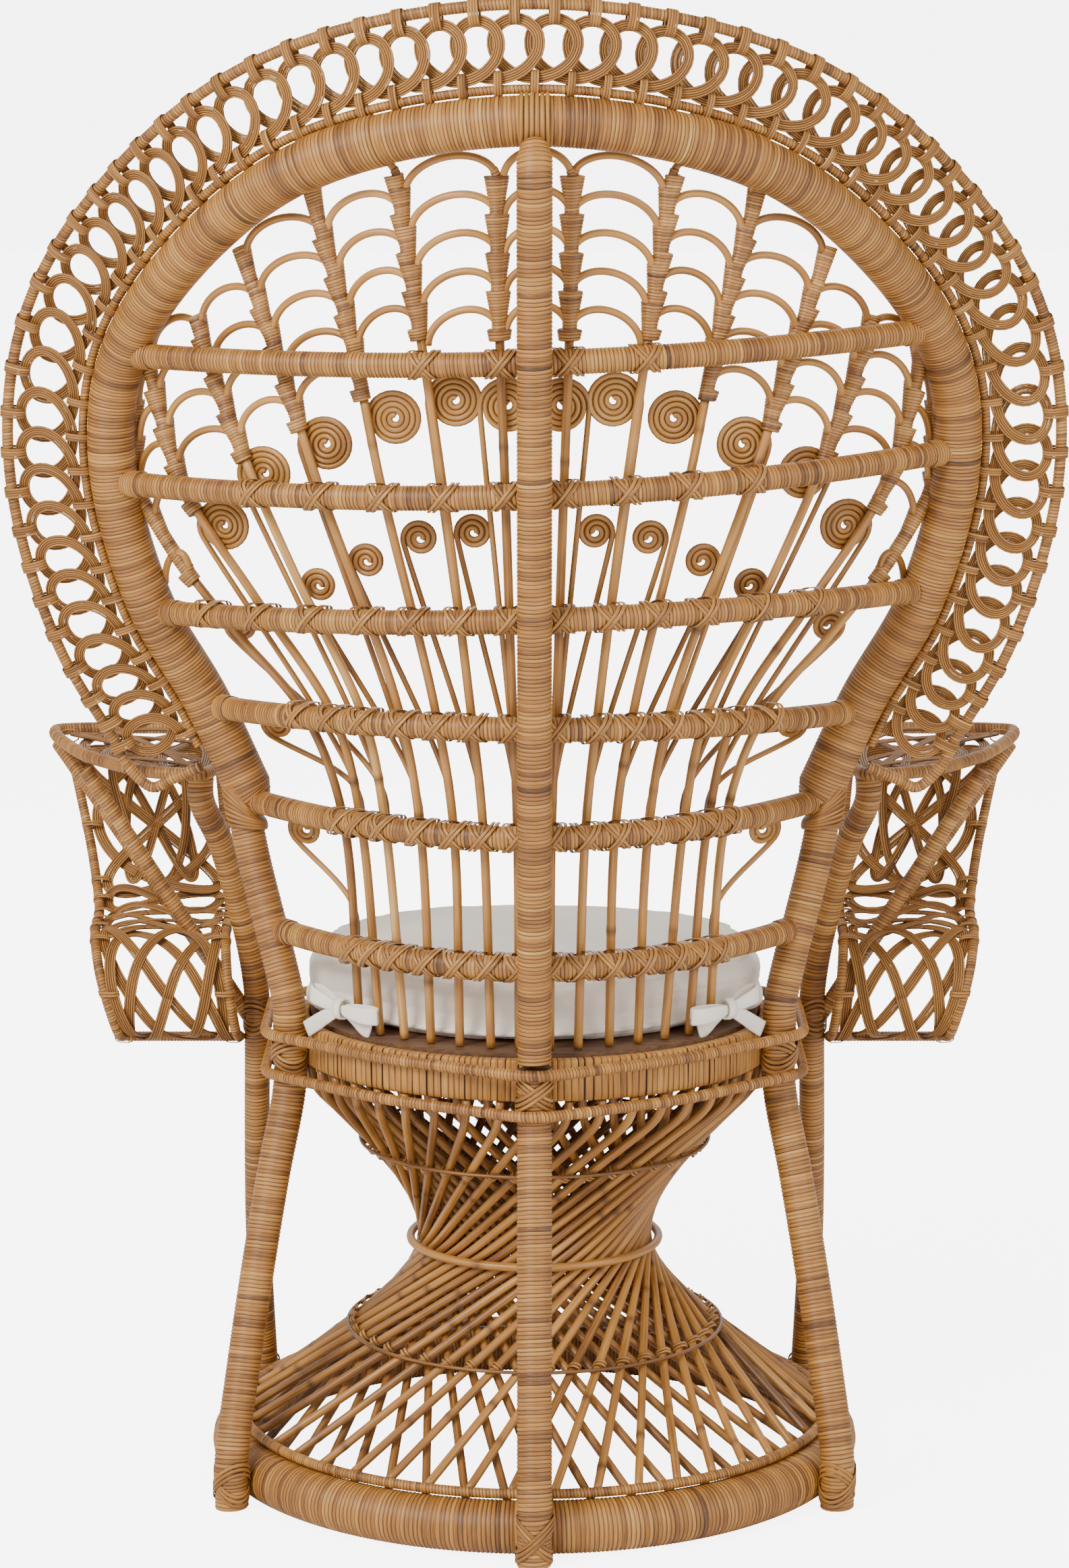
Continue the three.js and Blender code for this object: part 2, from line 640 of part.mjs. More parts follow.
const FOOT_TILT_SHARE = 0.17; // room under a spoke's slanting end
const SCALLOP_DROP = 12; // the landing end of a scallop is this much lower than its root

let scrollGap = Infinity;

function bundle(index, side) {
  const { curve, stemStart, top } = stemLines[index];
  const stemTop = SEAT_HEIGHT + top * seatBackRise;
  const spokeFoot = SEAT_HEIGHT + GAP + SPOKE_TUBE * FOOT_TILT_SHARE;
  // The spoke has a point at its foot, at each rail that it crosses and at its stem.
  const heights = [spokeFoot, stemStart];
  for (const rail of railShares) {
    const across = side * spokeX(curve, SEAT_HEIGHT + rail[0] * seatBackRise) / ARCH_HALF_WIDTH;
    const height = SEAT_HEIGHT + railHeight(rail, across) * seatBackRise;
    if (height < stemStart - RAIL_TUBE) heights.push(height);
  }
  heights.sort((a, b) => a - b);
  const spoke = heights.map((z) => onBack(side * spokeX(curve, z), z, spokeLayer));
  const stem = [];
  const STEM_RINGS = 2;
  for (let i = 0; i <= STEM_RINGS; i += 1) {
    const z = THREE.MathUtils.lerp(stemStart - OVERRUN, stemTop, i / STEM_RINGS);
    stem.push(onBack(side * spokeX(curve, z), z, spokeLayer));
  }
  const shapes = [tube(spoke, SPOKE_TUBE, 4), tube(stem, STEM_TUBE, 5)];

  // Scallops from this stem to the next one outwards, or to the arch from the last.
  const next = stemLines[index + 1];
  const lowest = stemStart + OVERRUN;
  const nextTop = next ? SEAT_HEIGHT + next.top * seatBackRise : stemTop;
  for (let z = lowest; z < Math.min(stemTop, nextTop + SCALLOP_RISE) - SCALLOP_RISE / 2; z += SCALLOP_SPACING) {
    const from = { x: spokeX(curve, z), z };
    const landing = z - SCALLOP_DROP;
    const reach = next ? spokeX(next.curve, landing) - STEM_TUBE - ARC_TUBE - GAP * 2 : frameShare(
      (landing - SEAT_HEIGHT) / seatBackRise) * ARCH_HALF_WIDTH;
    shapes.push(tube(scallop(from, { x: reach, z: landing }, SCALLOP_RISE, spokeLayer, side), ARC_TUBE, 3));
  }
  // The innermost stem also sends scallops across behind the spine to its twin.
  if (index === 0 && side > 0) {
    for (let z = stemStart + OVERRUN; z < stemTop; z += SCALLOP_SPACING) {
      const reach = -spokeX(curve, z) + STEM_TUBE + ARC_TUBE + GAP * 2;
      const arc = scallop({ x: spokeX(curve, z), z }, { x: reach, z }, SCALLOP_RISE, spokeLayer, side);
      shapes.push(tube(arc, ARC_TUBE, 3));
    }
  }

  // Scroll rods leave the spoke under a rail and lean off it towards the sitter.
  const { big, small } = spokeShares[index];
  const footRail = big ? 4 : 5;
  const rodFoot = railShares[footRail][0] - RAIL_TUBE * 1.6 / seatBackRise;
  const across = (z) => spokeX(curve, z) / ARCH_HALF_WIDTH;
  const kinds = [
    [big, BIG_SCROLL_RADIUS, bigLayer],
    [small, SMALL_SCROLL_RADIUS, smallLayer],
  ];
  for (const [centre, radius, layer] of kinds) {
    if (!centre) continue;
    const via = (railShares[footRail][0] * 2 + Math.min(railShares[footRail - 1][0], centre[1])) / 3;
    const root = [across(SEAT_HEIGHT + rodFoot * seatBackRise), rodFoot];
    const past = [across(SEAT_HEIGHT + via * seatBackRise), via];
    const scroll = scrollPoints(root, past, centre, radius, layer, side);
    shapes.push(tube(scroll, SCROLL_TUBE, 3));
    scrollGap = Math.min(scrollGap, selfGap(scroll, SCROLL_TUBE * 2, TURN_STEPS - 1));
  }
  return joined(shapes, [archSpace]);
}

for (let index = 0; index < spokeShares.length; index += 1) {
  addPiece(`back_spoke_right_${index + 1}`, bundle(index, 1), PEELED);
  addPiece(`back_spoke_left_${index + 1}`, bundle(index, -1), PEELED);
}
console.log(`scrolls clear themselves by ${scrollGap.toFixed(2)} mm`);

// Seat: wrapped apron band, board, two thin hoops bent round the legs, cushion

const SEAT_FACETS = 28;
const apronInner = APRON_RADIUS - APRON_WALL;
const APRON_ROUND = APRON_WALL / 4;
const apronBottom = SEAT_HEIGHT - APRON_DEPTH;
const apronProfile = [
  [apronInner, apronBottom],
  [APRON_RADIUS - APRON_ROUND, apronBottom],
  [APRON_RADIUS, apronBottom + APRON_ROUND],
  [APRON_RADIUS, SEAT_HEIGHT - APRON_ROUND],
  [APRON_RADIUS - APRON_ROUND, SEAT_HEIGHT],
  [apronInner, SEAT_HEIGHT],
  [apronInner, apronBottom],
].map(([radius, height]) => new THREE.Vector2(radius, height));
addPiece('seat_apron', upright(new THREE.LatheGeometry(apronProfile, SEAT_FACETS)));

const deckRadius = apronInner - GAP;
const deckTop = SEAT_HEIGHT;
const deck = new THREE.CylinderGeometry(deckRadius, deckRadius, DECK_THICKNESS, SEAT_FACETS);
deck.rotateX(Math.PI / 2);
deck.translate(0, 0, deckTop - DECK_THICKNESS / 2);
addPiece('seat_deck', deck, PEELED, 0.7);

// The hoops lie on the apron and run straight from it out over each leg, and straight between two close legs.
const HOOP_FACETS = 40;
const hoopAgainstApron = round(APRON_RADIUS + GAP, HOOP_FACETS) + SEAT_HOOP_TUBE;
const hoopSlant = Math.acos(hoopAgainstApron / hoopRoundLeg);
const legAngles = [-90, REAR_SEAT_ANGLE, 180 - REAR_SEAT_ANGLE, POLE_SEAT_ANGLE, 180 - POLE_SEAT_ANGLE];
const sideLegSpan = radians((POLE_SEAT_ANGLE - REAR_SEAT_ANGLE) / 2);
function seatHoopRadius(angle) {
  const turn = Math.PI * 2;
  let radius = hoopAgainstApron;
  for (const leg of legAngles) {
    const offset = (((angle - radians(leg)) % turn) + turn + Math.PI) % turn - Math.PI;
    const away = Math.abs(offset);
    if (away < hoopSlant) radius = Math.max(radius, hoopAgainstApron / Math.cos(hoopSlant - away));
  }
  for (const middle of [0, Math.PI]) {
    const away = Math.abs((((angle - middle) % turn) + turn + Math.PI) % turn - Math.PI);
    if (away <= sideLegSpan) radius = Math.max(radius, hoopRoundLeg * Math.cos(sideLegSpan) / Math.cos(away));
  }
  return radius;
}
hoopLevels.forEach((level, index) => {
  const place = (angle) => polar(seatHoopRadius(angle), THREE.MathUtils.radToDeg(angle), level);
  addPiece(index === 0 ? 'seat_hoop_upper' : 'seat_hoop_lower', hoop(place, SEAT_HOOP_TUBE, 4, HOOP_FACETS));
});

// Cushion: a boxed pad with a crown, its edge drawn in between two seams, cut in behind to follow the spokes.
const cushionFoot = deckTop + GAP;
const cushionRows = [
  [0, 0], [0.55, 0], [0.95, 0.02], [1, 0.08], [1, 0.5], [1, 0.92], [0.97, 1], [0.8, 1.12], [0.5, 1.21], [0, 1.25],
];
function cushionGeometry() {
  const rows = cushionRows.map(([out, up]) => new THREE.Vector2(out, up));
  const geometry = upright(new THREE.LatheGeometry(rows, 32));
  const position = geometry.attributes.position;
  const behind = spokeLayer + SPOKE_TUBE + CUSHION_CLEARANCE;
  const edgeTop = CUSHION_THICKNESS - CUSHION_CROWN;
  for (let i = 0; i < position.count; i += 1) {
    const out = Math.hypot(position.getX(i), position.getY(i));
    const angle = Math.atan2(position.getY(i), position.getX(i));
    const up = position.getZ(i);
    const drawn = out > 0.99 && up > 0.3 && up < 0.7 ? CUSHION_DRAW_IN : 0;
    const POWER_SHARE = 0.42;
    const cosine = Math.cos(angle);
    const sine = Math.sin(angle);
    const round = (Math.abs(cosine) ** (1 / POWER_SHARE) + Math.abs(sine) ** (1 / POWER_SHARE)) ** -POWER_SHARE;
    const x = (CUSHION_HALF_WIDTH * round * cosine) * out - drawn * cosine;
    let y = CUSHION_CENTRE + (CUSHION_HALF_DEPTH * round * sine) * out - drawn * sine;
    const limit = onBack(x, SEAT_HEIGHT, behind).y + (1 - out) * CUSHION_HALF_DEPTH + drawn;
    y = Math.max(y, limit * Math.min(out * 4, 1));
    const height = up <= 1 ? up * edgeTop : edgeTop + (up - 1) / 0.25 * CUSHION_CROWN;
    position.setXYZ(i, x, y, cushionFoot + height);
  }
  return geometry;
}
addPiece('seat_cushion', cushionGeometry(), CLOTH, 0.9);

// Cloth ties, one bow each side behind the back's spokes
function bow(side) {
  const height = SEAT_HEIGHT + TIE_KNOT * 3.5;
  const across = side * 0.455 * ARCH_HALF_WIDTH;
  const layer = spokeLayer - SPOKE_TUBE * Math.SQRT1_2 - GAP - TIE_KNOT * 0.9;
  const knot = new THREE.SphereGeometry(1, 6, 4);
  const leftLoop = new THREE.SphereGeometry(1, 6, 4);
  const rightLoop = new THREE.SphereGeometry(1, 6, 4);
  const tail = new THREE.BoxGeometry(TIE_KNOT * 4.5, TIE_KNOT * 0.8, TIE_KNOT * 1.2);
  knot.scale(TIE_KNOT * 0.9, TIE_KNOT * 0.9, TIE_KNOT);
  leftLoop.scale(TIE_KNOT * 2, TIE_KNOT * 0.7, TIE_KNOT);
  leftLoop.translate(-TIE_KNOT * 2.3, 0, TIE_KNOT * 0.9);
  rightLoop.scale(TIE_KNOT * 1.8, TIE_KNOT * 0.7, TIE_KNOT * 0.9);
  rightLoop.translate(TIE_KNOT * 2.1, 0, TIE_KNOT * 0.3);
  tail.rotateY(-0.35);
  tail.translate(TIE_KNOT * 1.8 * side, 0, -TIE_KNOT * 1.4);
  const shapes = [knot, leftLoop, rightLoop, tail];
  const centre = onBack(across, height, layer);
  const turn = Math.atan(2 * BACK_SAG * across / SEAT_BACK_HALF_WIDTH ** 2);
  for (const shape of shapes) {
    shape.rotateZ(turn);
    shape.translate(centre.x, centre.y, centre.z);
  }
  return joined(shapes);
}
addPiece('cushion_tie_right', bow(1), CLOTH, 0.9);
addPiece('cushion_tie_left', bow(-1), CLOTH, 0.9);

// Hourglass: two layers of straight rods that lean opposite ways round the waist and turn up into the seat

const topRingRadius = apronInner - ROD_TUBE * 2 - GAP;
const topRingHeight = SEAT_HEIGHT - DECK_THICKNESS - ROD_TUBE - GAP;
const rodFootRadius = BASE_RING_RADIUS - BASE_HOOP_TUBE * 2;
const rodDrop = WAIST_HEIGHT - baseHoopHeight;
const upAxis = new THREE.Vector3(0, 0, 1);

// How far a rod travels sideways between the waist and a place of the given radius.
const rodRun = (waist, radius) => Math.sqrt(radius ** 2 - waist ** 2);

// One rod, whose top end stands at the given angle. lean is 1 for the outer layer and -1 for the inner one.
function rodPoints(degrees, lean, waist, footRadius, footDrop, headRadius) {
  const foot = new THREE.Vector3(waist, -lean * rodRun(waist, footRadius), -footDrop);
  const middle = new THREE.Vector3(waist, 0, 0);
  const head = new THREE.Vector3(waist, lean * rodRun(waist, headRadius), ROD_SHOULDER);
  const end = head.clone().setZ(topRingHeight - WAIST_HEIGHT);
  const turn = radians(degrees) - Math.atan2(head.y, head.x);
  const points = [foot, middle, head, end];
  for (const point of points) {
    point.applyAxisAngle(upAxis, turn);
    point.z += WAIST_HEIGHT;
  }
  return points;
}

const outerRod = (degrees) => rodPoints(degrees, 1, WAIST_RADIUS, rodFootRadius, rodDrop, topRingRadius);
const innerRod = (degrees) => rodPoints(
  degrees,
  -1,
  WAIST_RADIUS - LAYER_STEP,
  BASE_RING_RADIUS - INNER_FOOT_STEP,
  WAIST_HEIGHT - INNER_FOOT_HEIGHT,
  topRingRadius - LAYER_STEP_TOP,
);

// The outer rods end on the thin hoop's flat top, the inner ones on the ring beside it.
const rodFootBlock = new THREE.BoxGeometry(BASE_RING_RADIUS * 4, BASE_RING_RADIUS * 4, BASE_RING_TUBE * 2);
rodFootBlock.translate(0, 0, baseHoopHeight + BASE_HOOP_TUBE + GAP - BASE_RING_TUBE);
const ringSpace = ringGeometry(GAP);

const rodsPerGroup = ROD_COUNT / ROD_GROUPS;
const carrierRadius = topRingRadius - LAYER_STEP_TOP / 2;
for (let group = 0; group < ROD_GROUPS; group += 1) {
  const outer = [];
  const inner = [];
  const carrier = [];
  for (let rod = 0; rod < rodsPerGroup; rod += 1) {
    const degrees = (group * rodsPerGroup + rod) / ROD_COUNT * 360;
    const between = degrees + 180 / ROD_COUNT;
    outer.push(tube(outerRod(degrees), ROD_TUBE, 4));
    inner.push(tube(innerRod(between), ROD_TUBE, 4));
    if (rod % 2 === 0) carrier.push(polar(carrierRadius, rod === 0 ? degrees : between, topRingHeight));
  }
  const ups = carrier.map(() => upAxis.clone());
  const outerPart = joined([...outer, band(carrier, ups, LAYER_STEP_TOP / 2 + ROD_TUBE, ROD_TUBE)], [rodFootBlock]);
  const innerPart = joined([band(carrier, ups, LAYER_STEP_TOP / 2 + ROD_TUBE, ROD_TUBE), ...inner], [ringSpace]);
  addPiece(`hourglass_rods_${group + 1}`, joined([outerPart, innerPart]), PEELED);
}

const RING_FACETS = 24;
const waistRing = (angle) => {
  const radius = round(WAIST_RADIUS + ROD_TUBE + GAP * 4, RING_FACETS) + WAIST_RING_TUBE;
  return polar(radius, THREE.MathUtils.radToDeg(angle), WAIST_HEIGHT - WAIST_RING_TUBE);
};
addPiece('waist_ring', hoop(waistRing, WAIST_RING_TUBE, 4, RING_FACETS), PEELED);

// Two thin bindings lie round the rods, above and below the waist.
const bindings = [
  ['binding_upper', BINDING_RISE, rodRun(WAIST_RADIUS, topRingRadius) / ROD_SHOULDER],
  ['binding_lower', -BINDING_FALL, rodRun(WAIST_RADIUS, rodFootRadius) / rodDrop],
];
for (const [name, rise, lean] of bindings) {
  const reach = Math.hypot(WAIST_RADIUS, lean * rise);
  const slope = lean * lean * rise / reach;
  const radius = round(reach + (ROD_TUBE + BINDING_TUBE + GAP * 3) * Math.hypot(1, slope), RING_FACETS);
  const binding = (angle) => polar(radius, THREE.MathUtils.radToDeg(angle), WAIST_HEIGHT + rise);
  addPiece(name, hoop(binding, BINDING_TUBE, 4, RING_FACETS), PEELED);
}

// Arms: a laced top in a wrapped frame, a laced side panel curling down to the seat, two braces

const armCorners = [
  [0.65, -0.06], [0.775, 0.005], [0.91, 0.37], [1, 1], [0.66, 1.02], [0.615, 0.5],
].map(([across, along]) => new THREE.Vector3(across * ARM_REACH, along * ARM_FRONT, ARM_HEIGHT));

function closedLine(corners) {
  return new THREE.CatmullRomCurve3(corners, true, 'catmullrom', 0.3);
}

// A closed tube along any level loop.
function levelLoop(curve, radius, sides, segments) {
  const place = (angle) => curve.getPointAt((((angle / Math.PI / 2) % 1) + 1) % 1);
  return hoop(place, radius, sides, segments);
}

// A running band between two edges of an arm: place(share, out, lift) gives its points, out from -1 to 1.
function armLace(place, loops, liftShare) {
  const points = [];
  const faces = [];
  const steps = loops * LOOP_STEPS;
  for (let i = 0; i <= steps; i += 1) {
    const turn = i / LOOP_STEPS;
    const angle = turn * Math.PI * 2;
    const share = (turn + 1 / 2 - LOOP_BACK_SHARE * Math.sin(angle)) / (loops + 1);
    const point = place(share, Math.cos(angle), -Math.sin(angle) * ARM_LACE_HALF_THICKNESS * liftShare);
    points.push(point);
    faces.push(place(share, Math.cos(angle), ARM_REACH).sub(point).normalize());
  }
  return band(points, faces, ARM_LACE_HALF_WIDTH, ARM_LACE_HALF_THICKNESS);
}

const armInner = [[0.615, -0.05], [0.6, 0.5], [0.66, 1.02]];
const armOuter = [[0.765, -0.045], [0.91, 0.37], [1, 1]];
const armLine = (table) => new THREE.CatmullRomCurve3(
  table.map(([across, along]) => new THREE.Vector3(across * ARM_REACH, along * ARM_FRONT, ARM_HEIGHT)),
);
const armInnerLine = armLine(armInner);
const armOuterLine = armLine(armOuter);

const armFrame = (flat) => levelLoop(closedLine(armCorners), flat, 4, 20);

function armTop() {
  const place = (share, out, lift) => {
    const along = THREE.MathUtils.clamp(share, 0, 1);
    const point = armInnerLine.getPoint(along).lerp(armOuterLine.getPoint(along), (out + 1) / 2);
    point.z += lift;
    return point;
  };
  return joined([armFrame(ARM_FRAME_TUBE), armLace(place, 4, 2.9)], [poleSpace]);
}

// Side profile of the panel: forward share of the arm's front, drop share of its foot.
const panelProfile = [
  [0.99, 0.05], [0.92, 0.22], [0.8, 0.42], [0.58, 0.585], [0.28, 0.63], [0.13, 0.76], [0.18, 0.95], [0.34, 1],
];
const panelLine = (topAcross, footAcross) => new THREE.CatmullRomCurve3(
  panelProfile.map(([along, drop]) => new THREE.Vector3(
    THREE.MathUtils.lerp(topAcross, footAcross, drop) * ARM_REACH,
    along * ARM_FRONT,
    ARM_HEIGHT - drop * ARM_FOOT_DROP,
  )),
  false,
  'centripetal',
);
const panelOuter = panelLine(0.985, 0.835);
const panelInner = panelLine(0.67, 0.6);

// Two braces run from the arm's outer corners in to the pole.
const braceFoot = polar(poleSeatRadius, POLE_SEAT_ANGLE, apronBottom);
const braceLines = [armCorners[2], armCorners[3]].map((corner) => {
  const head = corner.clone().setZ(corner.z - ARM_FRAME_TUBE - ARM_BRACE_TUBE / 2);
  head.y -= ARM_FRAME_TUBE * 2;
  return [head, braceFoot];
});

const PANEL_STEPS = 8;
function armPanel() {
  const outer = panelOuter.getSpacedPoints(PANEL_STEPS);
  const inner = panelInner.getSpacedPoints(PANEL_STEPS);
  const place = (share, out, lift) => {
    const along = THREE.MathUtils.clamp(share, 0.02, 0.98);
    const from = panelInner.getPointAt(along);
    const to = panelOuter.getPointAt(along);
    const across = to.clone().sub(from).normalize();
    const face = new THREE.Vector3().crossVectors(panelOuter.getTangentAt(along), across);
    return from.lerp(to, (out + 1) / 2).addScaledVector(face, lift);
  };
  return joined([
    tube(outer, ARM_ROD_TUBE, 4),
    tube(inner, ARM_ROD_TUBE, 4),
    tube([outer.at(-1), inner.at(-1)], ARM_ROD_TUBE, 4),
    armLace(place, 5, 4),
  ], [armFrame(ARM_FRAME_TUBE + GAP), poleSpace, ...braceLines.map((line) => tube(line, ARM_BRACE_TUBE + GAP, 6))]);
}

const armBraceRear = () => joined([tube(braceLines[0], ARM_BRACE_TUBE, 6)], [armFrame(ARM_FRAME_TUBE + GAP), poleSpace]);
const armBraceFront = () => joined(
  [tube(braceLines[1], ARM_BRACE_TUBE, 6)],
  [armFrame(ARM_FRAME_TUBE + GAP), poleSpace, tube(braceLines[0], ARM_BRACE_TUBE + GAP, 6)],
);

function mirrorGeometry(geometry) {
  const copy = geometry.clone();
  copy.scale(-1, 1, 1);
  const index = copy.index.array;
  for (let i = 0; i < index.length; i += 3) [index[i], index[i + 1]] = [index[i + 1], index[i]];
  return copy;
}

for (const [name, make, color] of [
  ['arm_top', armTop, RATTAN], ['arm_panel', armPanel, RATTAN],
  ['arm_brace_rear', armBraceRear, RATTAN], ['arm_brace_front', armBraceFront, RATTAN],
]) {
  const geometry = make();
  addPiece(`${name}_right`, geometry, color);
  addPiece(`${name}_left`, mirrorGeometry(geometry), color);
}

// The origin lies on the floor, under the middle of the whole chair.
const extent = new THREE.Box3().setFromObject(chair);
const middleOfAll = extent.getCenter(new THREE.Vector3());
for (const mesh of chair.children) mesh.geometry.translate(-middleOfAll.x, -middleOfAll.y, -extent.min.z);

export default chair;
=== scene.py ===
import math

import bpy
import numpy as np
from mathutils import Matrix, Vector
from mathutils.bvhtree import BVHTree


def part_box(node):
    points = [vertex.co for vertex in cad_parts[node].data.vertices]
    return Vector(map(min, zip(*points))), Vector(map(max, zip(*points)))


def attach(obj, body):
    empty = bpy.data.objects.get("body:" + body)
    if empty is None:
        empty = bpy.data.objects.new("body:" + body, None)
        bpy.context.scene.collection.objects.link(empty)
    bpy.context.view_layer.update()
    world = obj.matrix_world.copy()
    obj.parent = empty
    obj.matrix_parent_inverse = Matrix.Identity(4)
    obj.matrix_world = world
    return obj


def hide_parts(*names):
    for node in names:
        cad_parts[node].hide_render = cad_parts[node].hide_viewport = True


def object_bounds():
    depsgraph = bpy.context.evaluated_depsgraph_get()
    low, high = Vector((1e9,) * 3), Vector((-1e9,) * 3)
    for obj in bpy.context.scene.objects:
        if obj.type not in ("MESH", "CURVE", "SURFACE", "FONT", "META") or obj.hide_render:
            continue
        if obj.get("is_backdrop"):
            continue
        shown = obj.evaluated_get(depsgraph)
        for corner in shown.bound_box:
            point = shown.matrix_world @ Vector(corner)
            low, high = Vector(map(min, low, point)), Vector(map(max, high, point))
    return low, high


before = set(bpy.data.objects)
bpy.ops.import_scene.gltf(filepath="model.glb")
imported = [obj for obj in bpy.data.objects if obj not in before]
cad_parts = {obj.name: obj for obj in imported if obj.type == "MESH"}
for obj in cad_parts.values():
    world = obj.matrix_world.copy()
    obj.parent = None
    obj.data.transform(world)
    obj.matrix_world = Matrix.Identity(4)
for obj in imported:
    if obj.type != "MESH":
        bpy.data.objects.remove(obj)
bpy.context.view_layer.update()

# Lengths are millimetres from the seat's middle on the floor; toRow turns them to metres in the row's frame.
seatShift = sum(corner.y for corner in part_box("base_ring")) / 2 * 1000
clear = 0.3  # between neighbours that touch in the CAD model, mm


def toRow(points):
    return (np.asarray(points, float) + (0, seatShift, 0)) / 1000


# The camera stands behind the chair with a long lens and looks a little down.
photoView = {"away": 4500, "height": 1450, "pitch": 9.27, "lens": 101.9, "longSide": 36}
cameraData = bpy.data.cameras.new("photoCamera")
cameraData.lens = photoView["lens"]
cameraData.sensor_width = photoView["longSide"]
cameraData.clip_end = 100
camera = bpy.data.objects.new("photoCamera", cameraData)
camera.location = toRow((0, -photoView["away"], photoView["height"]))
camera.rotation_euler = (math.radians(90 - photoView["pitch"]), 0, 0)
bpy.context.scene.collection.objects.link(camera)
bpy.context.scene.camera = camera


# Hex colours are sRGB, and the shader takes linear values.
def linear(hexColour):
    channels = [int(hexColour[i:i + 2], 16) / 255 for i in (1, 3, 5)]
    return [c / 12.92 if c <= 0.04045 else ((c + 0.055) / 1.055) ** 2.4 for c in channels] + [1]


# Adds a node; inputs holds values or outputs to link, by the socket's name or number.
def addNode(tree, kind, inputs=None, **settings):
    node = tree.nodes.new(kind)
    for name, value in settings.items():
        setattr(node, name, value)
    for name, value in (inputs or {}).items():
        socket = node.inputs[name]
        if isinstance(value, bpy.types.NodeSocket):
            tree.links.new(value, socket)
        else:
            socket.default_value = value
    return node


def newMaterial(name):
    material = bpy.data.materials.new(name)
    material.use_nodes = True
    tree = material.node_tree
    tree.nodes.clear()
    shader = addNode(tree, "ShaderNodeBsdfPrincipled")
    addNode(tree, "ShaderNodeOutputMaterial", {"Surface": shader.outputs[0]})
    return material, tree, shader


def setRamp(node, stops):
    ramp = node.color_ramp
    while len(ramp.elements) < len(stops):
        ramp.elements.new(0.5)
    for element, (place, colour) in zip(ramp.elements, stops):
        element.position = place
        element.color = linear(colour)


# One cane material; streaks gives how fast the grain changes along the strand and across it, per millimetre.
def caneMaterial(name, look):
    material, tree, shader = newMaterial(name)
    tone = addNode(tree, "ShaderNodeAttribute", attribute_name="tone").outputs["Fac"]
    seamAndShade = addNode(tree, "ShaderNodeAttribute", attribute_name="seamAndShade").outputs["Fac"]
    grain = addNode(tree, "ShaderNodeAttribute", attribute_name="grain").outputs["Vector"]
    along, across = look["streaks"]
    stretched = addNode(tree, "ShaderNodeMapping", {"Vector": grain, "Scale": (along, across, across)}).outputs[0]
    fibre = addNode(tree, "ShaderNodeTexNoise", {"Vector": stretched, "Scale": 1, "Detail": 4, "Roughness": 0.6})
    blotch = addNode(tree, "ShaderNodeTexNoise", {"Vector": grain, "Scale": 1 / look["blotch"], "Detail": 2})
    mixed = addNode(tree, "ShaderNodeMath", {0: fibre.outputs["Fac"], 1: look["fibreShare"], 2: tone},
                    operation="MULTIPLY_ADD")
    shade = addNode(tree, "ShaderNodeMath", {0: blotch.outputs["Fac"], 1: look["blotchShare"], 2: mixed.outputs[0]},
                    operation="MULTIPLY_ADD")
    mean = (look["fibreShare"] + look["blotchShare"]) / 2
    centred = addNode(tree, "ShaderNodeMath", {0: shade.outputs[0], 1: mean}, operation="SUBTRACT")
    ramp = addNode(tree, "ShaderNodeValToRGB", {"Fac": centred.outputs[0]})
    setRamp(ramp, look["colours"])
    # The seam attribute mixes in the seam colour: darker growth rings and pole ends, and painted shade in grooves and
    # on flanks that lie against other parts.
    seamedAndShaded = addNode(tree, "ShaderNodeMix", {0: seamAndShade, 6: ramp.outputs[0], 7: linear(look["seamAndShade"])},
                     data_type="RGBA")
    tree.links.new(seamedAndShaded.outputs[2], shader.inputs["Base Color"])
    rough = addNode(tree, "ShaderNodeMapRange", {"Value": fibre.outputs["Fac"], "To Min": look["roughness"][0],
                                                 "To Max": look["roughness"][1]})
    tree.links.new(rough.outputs[0], shader.inputs["Roughness"])
    bump = addNode(tree, "ShaderNodeBump", {"Height": fibre.outputs["Fac"], "Strength": look["bump"],
                                            "Distance": 0.0004})
    tree.links.new(bump.outputs[0], shader.inputs["Normal"])
    shader.inputs["IOR"].default_value = 1.5
    shader.inputs["Coat Weight"].default_value = look["lacquer"]
    shader.inputs["Coat Roughness"].default_value = 0.3
    return material


# Rattan peel, the stem's glossy skin split in flat strips and wound on: satin strips of changing honey tones, with a
# dark line of painted shade in the groove where two turns meet. Its fibres run with the strip, so the grain changes
# fast along the pole.
wrappedPeel = caneMaterial("wrappedRattanPeel", {
    "streaks": (0.95, 0.03), "blotch": 70, "fibreShare": 1.0, "blotchShare": 0.35,
    "colours": [(0, "#4A2A0A"), (0.28, "#80501C"), (0.5, "#A66D28"), (0.75, "#BE883E"), (1, "#D3A866")],
    "seamAndShade": "#1C0D02", "roughness": (0.44, 0.62), "bump": 0.4, "lacquer": 0.05,
})
# Reed, the rattan's round core drawn through a die: matt, paler, with fine lengthwise grain.
# Its seam colour is painted shade on the flanks where cores and ties lie against each other.
roundReed = caneMaterial("roundReedCore", {
    "streaks": (0.02, 0.9), "blotch": 45, "fibreShare": 0.9, "blotchShare": 0.4,
    "colours": [(0, "#4A2A0C"), (0.28, "#7E501F"), (0.52, "#A56E2C"), (0.78, "#BF8A45"), (1, "#D3A96C")],
    "seamAndShade": "#2C1808", "roughness": (0.56, 0.72), "bump": 0.35, "lacquer": 0.0,
})
# Whole peeled cane: golden rods with long streaks and darker rings where the leaves grew.
# Its seam colour also paints shade in the grooves of the stems' windings and on the flanks of scrolls and ties that
# lie against others.
peeledCane = caneMaterial("peeledCaneRod", {
    "streaks": (0.012, 0.6), "blotch": 60, "fibreShare": 1.0, "blotchShare": 0.45,
    "colours": [(0, "#4F2E0C"), (0.28, "#845420"), (0.52, "#AB7430"), (0.78, "#C48E48"), (1, "#D6AD70")],
    "seamAndShade": "#3E230C", "roughness": (0.36, 0.52), "bump": 0.3, "lacquer": 0.12,
})

